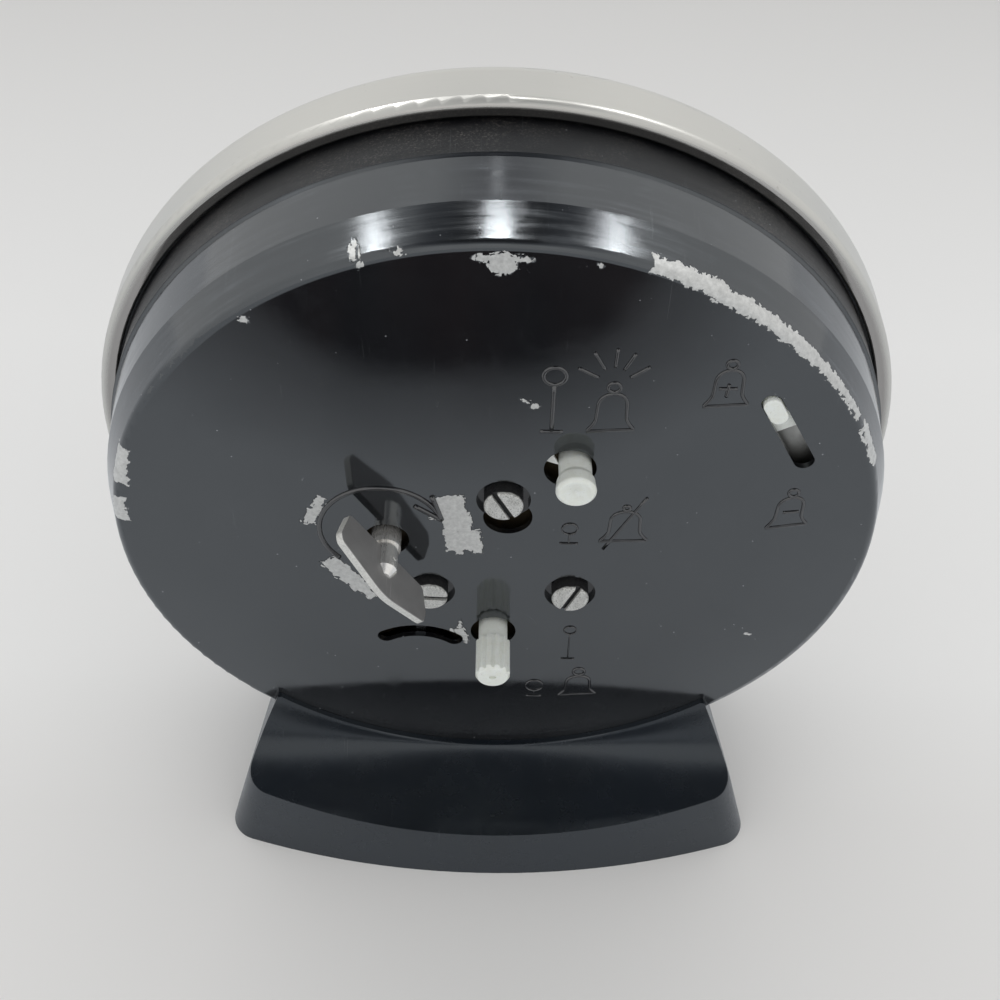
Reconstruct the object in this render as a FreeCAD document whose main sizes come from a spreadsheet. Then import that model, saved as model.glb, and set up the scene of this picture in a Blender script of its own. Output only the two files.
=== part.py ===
"""Wind-up alarm clock: a round drum on a moulded foot, seen from its back, with one spring and one key.

Row frame: millimetres, +Z up, the dial faces -Y, the back faces +Y, and the origin is the middle of the
clock's outline at the level of the surface that it stands on.

Drum frame: every piece of the drum is drawn in the drum's own frame and then placed. Its x is the row's X,
its y is up, and its z is the depth, counted from the outer face of the back towards the dial. Depths below
zero stand out behind the back, where the key and the knobs are.
"""
import FreeCAD
import Part
import math
import os
import re
import Sketcher
from FreeCAD import Placement, Rotation, Vector

os.makedirs("parts", exist_ok=True)
doc = FreeCAD.newDocument("AlarmClock")
sheet = doc.addObject("Spreadsheet::Sheet", "Sizes")

# Driving sizes: name, value
SIZES = [
    # drum and back
    ("drum_lift", 11.0), ("face_radius", 48.0), ("face_round", 1.2), ("case_wall", 0.8),
    ("crease_depth", 5.2), ("crease_out", 1.8), ("ledge_depth", 12.3), ("ledge_out", 0.6),
    ("band_step", 0.35), ("flange_depth", 19.6), ("flange_width", 1.55),
    ("key_hole", 2.95), ("alarm_hole", 3.2), ("set_hole", 3.1), ("screw_hole", 3.4),
    ("screw_hole_drop", 3.2), ("screw_hole_aside", 0.6), ("screw_hole_low", 3.1),
    ("slot_half", 1.25), ("volume_reach", 10.8), ("volume_inset", 7.795), ("volume_angle", 147.82),
    ("volume_turn", 60.14), ("index_radius", 8.0), ("index_half", 1.2), ("index_swing", 36.0),
    ("index_turn", 93.14),
    # bezel, lens and dial
    ("bezel_depth", 8.6), ("bezel_sheet", 0.9), ("bezel_play", 0.1), ("bezel_lip_gap", 0.35),
    ("bezel_roll", 1.1), ("bezel_edge", 0.3), ("bezel_round", 2.5), ("bezel_cover", 5.8),
    ("lens_rim", 1.25), ("lens_wall", 1.4), ("lens_rise", 2.55), ("lens_play", 0.4),
    ("reflector_lip", 1.0), ("reflector_flare", 1.8),
    ("dial_depth", 20.2), ("dial_thick", 0.5), ("dial_inset", 0.6), ("dial_bore", 3.2),
    ("dial_seat", 2.5), ("holder_width", 9.5), ("holder_floor", 0.9),
    ("post_near_angle", 59.0), ("post_far_angle", 109.0),
    # foot
    ("foot_half", 40.1), ("foot_waist_half", 36.5), ("foot_waist", 13.2), ("foot_top_half", 32.2),
    ("foot_tail", 15.1), ("foot_tail_drop", 5.3), ("foot_tail_draft", 3.3), ("foot_side_draft", 0.8),
    ("foot_front", 24.0), ("foot_front_draft", 2.5), ("foot_corner", 3.6), ("foot_taper", 8.3),
    ("foot_gap", 0.05), ("foot_hollow", 3.6), ("foot_rim", 3.2), ("ramp_wide", 44.0),
    ("ramp_lip", 2.6), ("ramp_lip_out", 0.8), ("ramp_fillet", 12.75), ("ramp_fillet_out", 1.8),
    ("ramp_fillet_radius", 92.0), ("ramp_high", 11.8), ("ramp_high_out", 3.6), ("ramp_high_radius", 145.0),
    ("ramp_low", 10.4), ("ramp_low_out", 7.5), ("ramp_low_radius", 195.0),
    ("ramp_crest", 9.35), ("ramp_crest_radius", 225.0),
    ("foot_screw_x", 14.0), ("foot_screw_depth", 8.0),
    ("foot_screw_radius", 1.5), ("foot_screw_head", 2.9), ("foot_nut_rise", 2.25),
    # plates of the movement
    ("plate_rear", 2.6), ("plate_thick", 1.2), ("plate_gap", 11.2), ("plate_edge", 3.25),
    ("plate_left", 21.0), ("plate_right", 30.0), ("pillar_radius", 1.6), ("pillar_screw", 0.8),
    ("nut_radius", 2.3), ("nut_thick", 1.0), ("post_length", 1.3), ("post_radius", 1.8),
    ("post_screw", 1.2), ("post_head", 2.4), ("post_head_thick", 0.8),
    ("arbor_thin", 0.5), ("pivot_radius", 0.35), ("pivot_play", 0.1), ("running", 0.05),
    # positions of the arbors, as angles from their neighbour or as x and y
    ("key_angle", 4.04), ("third_angle", -57.86), ("fourth_turn", -10.86), ("escape_turn", -38.86),
    ("bell_arbor_turn", 129.14), ("alarm_x", -9.38), ("alarm_y", 14.63), ("balance_x", 10.41),
    ("balance_y", -26.16), ("hammer_x", 3.37), ("hammer_y", 17.85), ("bell_x", -32.94), ("bell_y", 4.49),
    # teeth and modules
    ("great_teeth", 60), ("centre_pinion_teeth", 10), ("great_module", 0.4),
    ("centre_teeth", 64), ("third_pinion_teeth", 8), ("centre_module", 0.35),
    ("third_teeth", 60), ("fourth_pinion_teeth", 8), ("third_module", 0.27),
    ("fourth_teeth", 60), ("escape_pinion_teeth", 6), ("fourth_module", 0.25),
    ("escape_teeth", 15), ("escape_radius", 3.9),
    ("bell_great_teeth", 58), ("bell_pinion_teeth", 8), ("bell_module", 0.4),
    ("bell_escape_teeth", 13), ("bell_escape_radius", 4.4),
    ("cannon_teeth", 12), ("minute_teeth", 36), ("motion_module", 0.5),
    ("minute_pinion_teeth", 10), ("hour_teeth", 40), ("alarm_teeth", 60), ("set_teeth", 12),
    ("ratchet_teeth", 20), ("ratchet_radius", 4.6), ("ratchet_step", 0.7),
    ("click_reach", 2.1), ("click_rise", 3.2), ("click_width", 1.0), ("click_eye", 0.9),
    ("click_pivot", 0.4), ("click_strip_reach", 4.1), ("click_strip_half", 0.12),
    ("click_strip_start", -14.0), ("click_strip_sweep", 52.0), ("click_strip_foot", 0.5),
    ("spoke_width", 1.2), ("spoke_hub", 1.6), ("spoke_rim", 2.6), ("spoke_turn", 45.0),
    # depths of the wheels, and their thicknesses
    ("wheel_thick", 0.6), ("ratchet_level", 3.95), ("ratchet_thick", 0.5),
    ("bell_level", 4.6), ("bell_pinion_level", 4.2), ("bell_pinion_long", 1.0),
    ("barrel_level", 5.4), ("great_level", 9.6), ("great_thick", 1.0),
    ("centre_pinion_level", 9.4), ("centre_pinion_long", 1.5), ("centre_level", 12.3),
    ("third_pinion_level", 12.0), ("third_pinion_long", 1.6), ("third_level", 13.9),
    ("fourth_pinion_level", 13.8), ("fourth_pinion_long", 0.8), ("fourth_level", 11.0),
    ("escape_pinion_level", 10.8), ("escape_pinion_long", 1.0), ("escape_level", 8.5),
    ("bell_escape_level", 11.0), ("fork_level", 7.6), ("fork_thick", 0.5),
    ("balance_level", 5.5), ("balance_thick", 1.0), ("hair_level", 4.2), ("hair_height", 0.4),
    ("cannon_level", 16.6), ("cannon_long", 0.9), ("minute_level", 16.7), ("motion_thick", 0.7),
    ("minute_pinion_long", 0.9), ("hour_level", 17.7), ("alarm_level", 18.7),
    ("set_level", 18.4), ("set_pinion_long", 1.2),
    # winding arbor and key
    ("arbor_radius", 1.95), ("arbor_neck", 1.65), ("arbor_reach", 6.4), ("arbor_inner", 1.6),
    ("arbor_pivot", 1.0), ("arbor_slot", 1.04), ("arbor_slot_end", 2.2), ("arbor_collar", 1.6),
    ("key_thick", 1.0), ("key_foot", 2.3), ("key_foot_left", 8.4), ("key_foot_right", 8.2),
    ("key_right", 9.2), ("key_right_low", 5.8), ("key_right_in", 8.9), ("key_right_high", 7.6),
    ("key_left", 9.7), ("key_left_low", 6.2), ("key_left_in", 9.3), ("key_left_high", 7.3),
    ("key_crest", 9.5), ("key_round", 0.9), ("key_edge", 0.18), ("key_turn", -121.26),
    ("key_pin_radius", 0.4), ("key_pin_reach", 3.7),
    # knobs, stems, slider and screws of the back
    ("set_neck", 1.98), ("set_head", 2.34), ("set_neck_reach", 2.1), ("set_taper", 7.3),
    ("set_tip", 2.0), ("set_reach", 7.75), ("set_dimple", 0.5), ("set_dimple_deep", 0.3),
    ("set_stem_end", 3.5), ("set_inner", 1.6), ("set_flutes", 12), ("flute_radius", 0.42),
    ("stem_radius", 1.0), ("clip_radius", 2.4), ("clip_level", 6.5), ("clip_groove", 0.7),
    ("alarm_neck", 2.02), ("alarm_neck_reach", 2.2), ("alarm_flare", 0.7), ("alarm_waist", 2.34),
    ("alarm_head", 2.48), ("alarm_rim", 0.4), ("alarm_rim_radius", 2.05), ("alarm_round", 0.3),
    ("alarm_reach", 4.15), ("alarm_dish", 0.35), ("alarm_dimple", 0.6), ("alarm_dimple_deep", 0.25),
    ("alarm_stem_reach", 3.2), ("alarm_lean", 0.6),
    ("alarm_stem_end", 18.6), ("alarm_flange", 1.8), ("alarm_flange_level", 9.5),
    ("volume_peg", 1.1), ("volume_peg_half", 2.05), ("volume_proud", 0.5), ("volume_rest", 4.23),
    ("volume_plate", 3.0), ("volume_plate_half", 4.5), ("volume_level", 1.1),
    ("volume_rail", 0.8), ("volume_tray_half", 9.0), ("volume_floor", 2.2),
    ("screw_head", 2.46), ("screw_proud", 1.3), ("screw_round", 0.35), ("screw_shank", 1.2),
    ("screw_slot", 0.75), ("screw_slot_deep", 0.6), ("screw_flange", 4.0), ("screw_flange_thick", 0.6),
    ("screw_post", 2.2),
    # barrel, balance, bell and hands
    ("barrel_radius", 11.2), ("barrel_wall", 0.7), ("spring_inner", 2.2), ("spring_pitch", 0.86),
    ("spring_thick", 0.35), ("spring_turns", 9),
    ("balance_radius", 8.0), ("balance_rim", 1.1), ("collet_radius", 1.0), ("roller_radius", 1.6),
    ("hair_inner", 1.2), ("hair_pitch", 0.45), ("hair_thick", 0.12), ("hair_turns", 6),
    ("balance_spoke", 0.7), ("cock_level", 1.95), ("cock_half", 8.5), ("cock_width", 2.4),
    ("cock_hole", 6.0), ("cock_boss", 1.5), ("cock_screw", 0.9), ("cock_screw_inset", 1.2),
    ("cock_screw_thick", 0.5), ("stud_radius", 0.3), ("stud_gap", 0.35), ("index_level", 1.3),
    ("index_ring", 1.0), ("index_arm", 0.7), ("index_pad", 0.95), ("index_bite", 0.3),
    ("curb_radius", 4.4), ("curb_pin", 0.15), ("curb_angle", 2.4), ("curb_long", 0.6),
    ("fork_reach", 4.9), ("pallet_circle", 4.45), ("pallet_pin", 0.25), ("fork_arm", 7.7),
    ("fork_half", 0.45), ("bell_radius", 10.5), ("bell_wall", 0.8), ("bell_crown", 4.0),
    ("bell_mouth", 11.5), ("bell_post_radius", 2.0), ("bell_screw", 1.2),
    ("hammer_arbor", 0.7), ("hammer_level", 9.7), ("hammer_half", 0.9), ("hammer_head", 2.2),
    ("hammer_head_level", 8.6), ("hammer_head_long", 2.8), ("hammer_reach", 33.0),
    ("hand_thick", 0.5), ("alarm_hand_thick", 0.4), ("alarm_hand_level", 20.95),
    ("hour_hand_level", 21.7), ("minute_hand_level", 22.7), ("hand_nut_radius", 1.9),
    ("hand_nut_thick", 0.8), ("tube_wall", 0.6), ("minute_tube", 1.5), ("stud_wall", 0.3),
    ("minute_hub", 3.0), ("minute_half", 1.7), ("hour_hub", 3.4), ("hour_half", 2.1),
    ("alarm_hub", 3.7), ("alarm_half", 0.9), ("pallet_half", 0.5),
    ("minute_length", 38.0), ("hour_length", 26.0), ("alarm_length", 17.0),
    ("minute_angle", 60.0), ("hour_angle", 305.0), ("alarm_angle", 195.0),
]

# Sizes that follow from the driving ones: name, formula
DERIVED = [
    ("axis_height", "drum_lift + face_radius"),
    ("foot_top", "2 * drum_lift + ramp_lip + ramp_lip_out"),
    ("foot_nut_level", "drum_lift + foot_nut_rise"),
    ("crease_radius", "face_radius + crease_out"),
    ("ledge_radius", "crease_radius + ledge_out"),
    ("volume_out", "face_radius - volume_inset"),
    ("volume_x", "volume_out * cos(volume_angle * 1 deg)"),
    ("volume_y", "volume_out * sin(volume_angle * 1 deg)"),
    ("band_radius", "ledge_radius + band_step"),
    ("band_inner", "band_radius - case_wall"),
    ("flange_radius", "band_radius + flange_width"),
    ("flange_front", "flange_depth + case_wall"),
    ("bezel_rear", "flange_depth - running - bezel_sheet"),
    ("bezel_front", "bezel_rear + bezel_depth"),
    ("bezel_inner", "flange_radius + bezel_play"),
    ("bezel_radius", "bezel_inner + bezel_sheet"),
    ("bezel_lip", "band_radius + bezel_lip_gap"),
    ("lens_radius", "bezel_inner - bezel_round + bezel_sheet - lens_play"),
    ("lens_back", "bezel_front - bezel_sheet - lens_rim - running"),
    ("lens_front", "bezel_front - bezel_sheet - running"),
    ("lens_crown", "lens_front + lens_rise"),
    ("dial_front", "dial_depth + dial_thick"),
    ("rear_y", "(lens_crown - foot_tail) / 2"),
    ("bezel_mouth", "bezel_inner - bezel_cover"),
    ("dial_radius", "bezel_mouth - dial_inset"),
    ("holder_shelf", "dial_radius - dial_seat"),
    ("holder_inner", "holder_shelf - holder_width"),
    ("post_circle", "(holder_inner + holder_shelf) / 2"),
    ("plate_radius", "post_circle + plate_edge"),
    ("post_near_x", "post_circle * cos(post_near_angle * 1 deg)"),
    ("post_near_y", "post_circle * sin(post_near_angle * 1 deg)"),
    ("post_far_x", "post_circle * cos(post_far_angle * 1 deg)"),
    ("post_far_y", "post_circle * sin(post_far_angle * 1 deg)"),
    ("holder_back", "plate_front_out + post_length"),
    ("plate_rear_in", "plate_rear + plate_thick"),
    ("plate_front", "plate_rear_in + plate_gap"),
    ("plate_front_out", "plate_front + plate_thick"),
    ("great_distance", "(great_teeth + centre_pinion_teeth) * great_module / 2"),
    ("centre_distance", "(centre_teeth + third_pinion_teeth) * centre_module / 2"),
    ("third_distance", "(third_teeth + fourth_pinion_teeth) * third_module / 2"),
    ("fourth_distance", "(fourth_teeth + escape_pinion_teeth) * fourth_module / 2"),
    ("bell_distance", "(bell_great_teeth + bell_pinion_teeth) * bell_module / 2"),
    ("motion_distance", "(cannon_teeth + minute_teeth) * motion_module / 2"),
    ("hour_module", "2 * motion_distance / (hour_teeth + minute_pinion_teeth)"),
    ("alarm_distance", "(alarm_teeth + set_teeth) * motion_module / 2"),
    ("key_x", "great_distance * cos(key_angle * 1 deg)"),
    ("key_y", "great_distance * sin(key_angle * 1 deg)"),
    ("third_x", "centre_distance * cos(third_angle * 1 deg)"),
    ("third_y", "centre_distance * sin(third_angle * 1 deg)"),
    ("fourth_x", "third_x + third_distance * cos(fourth_turn * 1 deg)"),
    ("fourth_y", "third_y + third_distance * sin(fourth_turn * 1 deg)"),
    ("escape_x", "fourth_x + fourth_distance * cos(escape_turn * 1 deg)"),
    ("escape_y", "fourth_y + fourth_distance * sin(escape_turn * 1 deg)"),
    ("escape_gap", "sqrt((balance_x - escape_x) * (balance_x - escape_x)"
                   " + (balance_y - escape_y) * (balance_y - escape_y))"),
    ("bell_arbor_x", "key_x + bell_distance * cos(bell_arbor_turn * 1 deg)"),
    ("bell_arbor_y", "key_y + bell_distance * sin(bell_arbor_turn * 1 deg)"),
    ("minute_pinion_level", "minute_level + motion_thick"),
    ("hour_tube_in", "minute_tube + running"),
    ("hour_tube", "hour_tube_in + tube_wall"),
    ("alarm_tube_in", "hour_tube + running"),
    ("alarm_tube", "alarm_tube_in + tube_wall"),
    ("hour_end", "hour_hand_level + hand_thick"),
    ("alarm_end", "alarm_hand_level + alarm_hand_thick"),
    ("minute_end", "minute_hand_level + hand_thick"),
    ("barrel_top", "barrel_level + wheel_thick"),
    ("minute_arbor", "stem_radius - 2 * running"),
    ("minute_stud", "arbor_thin + stud_wall"),
    ("fork_x", "escape_x + (balance_x - escape_x) * fork_reach / escape_gap"),
    ("fork_y", "escape_y + (balance_y - escape_y) * fork_reach / escape_gap"),
    ("set_x", "0"),
    ("set_y", "-alarm_distance"),
    ("minute_y", "-alarm_distance / 2"),
    ("minute_x", "-sqrt(motion_distance * motion_distance - minute_y * minute_y)"),
]


def fill_sheet():
    """Writes the driving sizes as plain numbers and the derived ones as formulas, each with its alias."""
    row = 1
    for name, number in SIZES:
        sheet.set("A%d" % row, name)
        sheet.set("B%d" % row, str(number))
        sheet.setAlias("B%d" % row, name)
        row += 1
    for name, formula in DERIVED:
        sheet.set("A%d" % row, name)
        sheet.set("B%d" % row, "=" + formula)
        sheet.setAlias("B%d" % row, name)
        row += 1
    doc.recompute()


fill_sheet()
NAMES = {name for name, _ in SIZES + DERIVED}


def size(text):
    """The number that a sum of sizes stands for, such as "case_wall + 2*running"."""
    total = 0.0
    for sign, term in re.findall(r"([+-]?)\s*([^+-]+)", text):
        number = 1.0
        for times, factor in re.findall(r"([*/]?)\s*([\w.]+)", term):
            amount = float(sheet.get(factor)) if factor in NAMES else float(factor)
            number = number / amount if times == "/" else number * amount
        total += -number if sign == "-" else number
    return total


def bound(text):
    """The same sum as an expression on the sheet's cells."""
    return re.sub(r"[a-z]\w*", lambda found: "Sizes." + found.group(0), text)


PARTS = []


def in_drum(item, x="0", y="0", depth="0", turn=0.0):
    """Puts an object that is drawn in the drum frame where it belongs in the row frame.

    The turn is about the object's own z, in degrees from x towards y."""
    across, up, back = x, "axis_height + " + y, "rear_y - " + depth
    if y.startswith("-"):
        up = "axis_height - " + y[1:]
    spin = Rotation(Vector(1, 0, 0), 90).multiply(Rotation(Vector(0, 0, 1), turn))
    item.Placement = Placement(Vector(size(across), size(back), size(up)), spin)
    for axis, text in (("x", across), ("y", back), ("z", up)):
        item.setExpression("Placement.Base." + axis, bound(text))
    PARTS.append(item)
    return item


def new_body(label):
    body = doc.addObject("PartDesign::Body", label)
    body.Label = label
    return body


def new_sketch(body, role, lift="0"):
    """A sketch on one of the body's own origin planes, lifted off it by a size."""
    sketch = body.newObject("Sketcher::SketchObject", "Sketch")
    plane = next(item for item in body.Origin.OriginFeatures if item.Role == role)
    sketch.AttachmentSupport = [(plane, "")]
    sketch.MapMode = "FlatFace"
    sketch.AttachmentOffset = Placement(Vector(0, 0, size(lift)), Rotation())
    sketch.setExpression("AttachmentOffset.Base.z", bound(lift))
    return sketch


def pin_point(sketch, line, end, x, y):
    """Holds one point of a sketch at two sizes from the sketch's origin."""
    for kind, axis, text in (("DistanceX", -2, x), ("DistanceY", -1, y)):
        if text == "0":
            sketch.addConstraint(Sketcher.Constraint("PointOnObject", line, end, axis))
            continue
        made = sketch.addConstraint(Sketcher.Constraint(kind, -1, 1, line, end, size(text)))
        sketch.setExpression("Constraints[%d]" % made, bound(text))


def draw_outline(sketch, points):
    """A closed run of straight lines through points, each given as two sums of sizes."""
    places = [Vector(size(x), size(y), 0) for x, y in points]
    first = sketch.GeometryCount
    count = len(points)
    for i in range(count):
        sketch.addGeometry(Part.LineSegment(places[i], places[(i + 1) % count]), False)
    for i in range(count):
        after = first + (i + 1) % count
        sketch.addConstraint(Sketcher.Constraint("Coincident", first + i, 2, after, 1))
    for i, (x, y) in enumerate(points):
        pin_point(sketch, first + i, 1, x, y)


def draw_circles(sketch, circles):
    for x, y, radius in circles:
        made = sketch.addGeometry(
            Part.Circle(Vector(size(x), size(y), 0), Vector(0, 0, 1), size(radius)), False)
        pin_point(sketch, made, 3, x, y)
        held = sketch.addConstraint(Sketcher.Constraint("Radius", made, size(radius)))
        sketch.setExpression("Constraints[%d]" % held, bound(radius))


def turned(label, profile):
    """A body turned about its own z: profile points are (radius, depth)."""
    body = new_body(label)
    sketch = new_sketch(body, "XZ_Plane")
    draw_outline(sketch, profile)
    spin = body.newObject("PartDesign::Revolution", "Spin")
    spin.Profile = sketch
    spin.ReferenceAxis = (sketch, ["V_Axis"])
    spin.Angle = 360.0
    sketch.Visibility = False
    return body


def pocket(body, lift, reach, circles=(), outline=(), role="XY_Plane", both=False):
    """Cuts from the lifted plane against its normal over a reach, or to both sides of it."""
    sketch = new_sketch(body, role, lift)
    draw_circles(sketch, circles)
    if outline:
        draw_outline(sketch, outline)
    cut = body.newObject("PartDesign::Pocket", "Cut")
    cut.Profile = sketch
    cut.Midplane = both
    cut.Length = size(reach)
    cut.setExpression("Length", bound(reach))
    sketch.Visibility = False
    return cut


def pad(body, lift, reach, circles=(), outline=(), role="XY_Plane", both=False):
    """Adds material from the lifted plane along its normal over a reach, or to both sides of it."""
    sketch = new_sketch(body, role, lift)
    draw_circles(sketch, circles)
    if outline:
        draw_outline(sketch, outline)
    raised = body.newObject("PartDesign::Pad", "Raise")
    raised.Profile = sketch
    raised.Midplane = both
    raised.Length = size(reach)
    raised.setExpression("Length", bound(reach))
    sketch.Visibility = False
    return raised


def repeat_round(body, feature, count):
    """Repeats a cut evenly round the body's z axis."""
    pattern = body.newObject("PartDesign::PolarPattern", "Around")
    pattern.Originals = [feature]
    pattern.Axis = (feature.Profile[0], ["N_Axis"])
    pattern.Angle = 360.0
    pattern.Occurrences = int(size(count))
    pattern.setExpression("Occurrences", bound(count))
    body.Tip = pattern
    return pattern


def round_edges(body, radius, wanted):
    """Rounds the edges of the body's last feature that the test picks."""
    doc.recompute()
    last = body.Tip
    names = ["Edge%d" % (i + 1) for i, edge in enumerate(last.Shape.Edges) if wanted(edge)]
    fillet = body.newObject("PartDesign::Fillet", "Round")
    fillet.Base = (last, names)
    fillet.Radius = size(radius)
    fillet.setExpression("Radius", bound(radius))
    return fillet


def circle_at(radius, depth):
    """Picks the full circles of one radius at one depth."""
    def wanted(edge):
        curve = edge.Curve
        if not isinstance(curve, Part.Circle):
            return False
        return abs(curve.Radius - size(radius)) < 1e-4 and abs(curve.Center.z - size(depth)) < 1e-4
    return wanted


def solid(label, shape, x="0", y="0", depth="0", turn=0.0):
    """A piece whose shape comes from this file's own functions, placed in the drum."""
    item = doc.addObject("Part::Feature", label)
    item.Label = label
    item.Shape = shape.removeSplitter() if shape.ShapeType == "Solid" else shape
    return in_drum(item, x, y, depth, turn)


def disc(radius, low, high, bore=0.0, x=0.0, y=0.0):
    """A round plate between two depths, with or without a bore."""
    made = Part.makeCylinder(radius, high - low, Vector(x, y, low))
    if bore:
        made = made.cut(Part.makeCylinder(bore, high - low, Vector(x, y, low)))
    return made


def slab(corners, low, high):
    """A flat plate between two depths, with straight sides."""
    points = [Vector(x, y, low) for x, y in corners]
    face = Part.Face(Part.makePolygon(points + points[:1]))
    return face.extrude(Vector(0, 0, high - low))


def cap_arc(reach, start, crown):
    """Half the section of a shallow dome: from its crown on the axis out to its reach."""
    rise = crown - start
    ball = (reach ** 2 + rise ** 2) / (2 * rise)
    half = math.asin(reach / ball) / 2
    over = Vector(ball * math.sin(half), 0, crown - ball * (1 - math.cos(half)))
    return Part.Arc(Vector(0, 0, crown), over, Vector(reach, 0, start)).toShape()


def hexagon(radius, low, high):
    return slab([polar(radius, 60 * i) for i in range(6)], low, high)


def at_back(item):
    """Puts an object that is drawn upright, with y counted from the back, in the row frame."""
    item.Placement = Placement(Vector(0, size("rear_y"), 0), Rotation())
    item.setExpression("Placement.Base.y", bound("rear_y"))
    PARTS.append(item)
    return item


def polar(radius, degrees):
    return radius * math.cos(math.radians(degrees)), radius * math.sin(math.radians(degrees))


TOOTH_ROOT = 0.66
TOOTH_TIP = 0.20
WHEEL_ADDENDUM = 0.85
DEDENDUM = 1.12
# Escape teeth: depth of their roots as a share of the radius, and the slant of front and back in degrees
CLUB_ROOT = 0.72
CLUB_FRONT = 2.0
CLUB_BACK = 8.0
# A hand's outline: its neck's share of the half width, and the shares of its length where it widens
NECK = 0.45
WAIST = 0.35
SHOULDER = 0.5
POINT = 0.88


def gear(teeth, module, turn, low, high, bore=0.0):
    """A spur wheel with straight-sided teeth. A tooth stands at the angle turn."""
    pitch = 360.0 / teeth
    root = teeth * module / 2 - DEDENDUM * module
    tip = teeth * module / 2 + WHEEL_ADDENDUM * module
    corners = []
    for i in range(int(teeth)):
        middle = turn + i * pitch
        for radius, share in ((root, -TOOTH_ROOT), (tip, -TOOTH_TIP), (tip, TOOTH_TIP), (root, TOOTH_ROOT)):
            corners.append(polar(radius, middle + share * pitch / 2))
    made = slab(corners, low, high)
    if bore:
        made = made.cut(Part.makeCylinder(bore, high - low, Vector(0, 0, low)))
    return made


def meshing_turn(teeth, turn, other_teeth, towards):
    """The turn of a wheel that lies towards an angle from a pinion, so that their teeth fit at rest."""
    phase = (towards - turn) / (360.0 / teeth)
    pitch = 360.0 / other_teeth
    return towards + 180.0 - pitch * (0.5 - phase)


def heading(from_x, from_y, to_x, to_y):
    return math.degrees(math.atan2(size(to_y) - size(from_y), size(to_x) - size(from_x)))


def stepped(steps):
    """A shaft of several diameters: each step is a radius and two depths."""
    made = Part.makeCylinder(steps[0][0], steps[0][2] - steps[0][1], Vector(0, 0, steps[0][1]))
    for radius, low, high in steps[1:]:
        made = made.fuse(Part.makeCylinder(radius, high - low, Vector(0, 0, low)))
    return made


def coil(inner, pitch, turns, thick, low, high):
    """A flat coiled strip, as half circles that grow by half a pitch each."""
    inside, outside = [], []
    radius, centre, side = inner, 0.0, 1
    for _ in range(int(2 * turns)):
        for wire, reach in ((inside, radius), (outside, radius + thick)):
            start = Vector(centre + side * reach, 0, low)
            over = Vector(centre, side * reach, low)
            end = Vector(centre - side * reach, 0, low)
            wire.append(Part.Arc(start, over, end).toShape())
        centre += side * pitch / 2
        radius += pitch / 2
        side = -side
    first = Part.makeLine(inside[0].Vertexes[0].Point, outside[0].Vertexes[0].Point)
    last = Part.makeLine(inside[-1].Vertexes[-1].Point, outside[-1].Vertexes[-1].Point)
    loop = Part.Wire(Part.__sortEdges__([first, last] + inside + outside))
    return Part.Face(loop).extrude(Vector(0, 0, high - low))


def at_each(shape, places):
    """Copies of one shape at several places, as one group of separate solids."""
    copies = []
    for x, y in places:
        copy = shape.copy()
        copy.translate(Vector(size(str(x)), size(str(y)), 0))
        copies.append(copy)
    return Part.makeCompound(copies)


def slot_outline(x, y, half_length, half_width, degrees, low, high):
    """A flat bar with round ends, turned in the face plane."""
    made = Part.makeBox(2 * half_length, 2 * half_width, high - low, Vector(-half_length, -half_width, low))
    for end in (-half_length, half_length):
        made = made.fuse(Part.makeCylinder(half_width, high - low, Vector(end, 0, low)))
    made = made.removeSplitter()
    made.rotate(Vector(0, 0, 0), Vector(0, 0, 1), degrees)
    made.translate(Vector(x, y, 0))
    return made


def arc_slot(x, y, radius, half_width, start, sweep, low, high):
    """A bar with round ends, bent round a centre."""
    ring = Part.makeCylinder(radius + half_width, high - low, Vector(0, 0, low), Vector(0, 0, 1), sweep)
    ring = ring.cut(Part.makeCylinder(radius - half_width, high - low, Vector(0, 0, low)))
    for degrees in (0.0, sweep):
        end_x, end_y = polar(radius, degrees)
        ring = ring.fuse(Part.makeCylinder(half_width, high - low, Vector(end_x, end_y, low)))
    ring = ring.removeSplitter()
    ring.rotate(Vector(0, 0, 0), Vector(0, 0, 1), start)
    ring.translate(Vector(x, y, 0))
    return ring


# Three cheese-head screws sit in round windows of the back: x, y and the turn of the slot
SCREWS = [(-0.86, 8.87, 62.0), (8.6, -9.3, 3.0), (-10.1, -9.3, -67.0)]
# Four pillars part the two plates, and four posts hold the movement to its holder
PILLARS = [(-18.0, 12.0), (25.0, 20.0), (26.0, -24.5), (-18.0, -25.0)]
POSTS = [("post_far_x", "post_far_y"), ("post_near_x", "post_near_y"),
         ("post_near_x", "-post_near_y"), ("post_far_x", "-post_far_y")]


def back_windows():
    """The cuts of the back that are not round: volume slot, index slot and the drop of one window."""
    low, high = -size("running"), 2 * size("case_wall")
    volume = slot_outline(
        size("volume_x"), size("volume_y"), size("volume_reach") / 2, size("slot_half"),
        size("volume_turn"), low, high)
    index = arc_slot(
        size("balance_x"), size("balance_y"), size("index_radius"), size("index_half"),
        size("index_turn") - size("index_swing"), 2 * size("index_swing"), low, high)
    drop = Part.makeCylinder(
        size("screw_hole_low"), high - low,
        Vector(SCREWS[0][0] - size("screw_hole_aside"), SCREWS[0][1] - size("screw_hole_drop"), low))
    holes = []
    for side in (-1, 1):
        holes.append(Part.makeCylinder(
            size("foot_screw_radius") + size("running"), size("face_radius") / 4,
            Vector(side * size("foot_screw_x"), -0.9 * size("face_radius"), size("foot_screw_depth")),
            Vector(0, -1, 0)))
    return Part.makeCompound([volume, index, drop] + holes)


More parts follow.
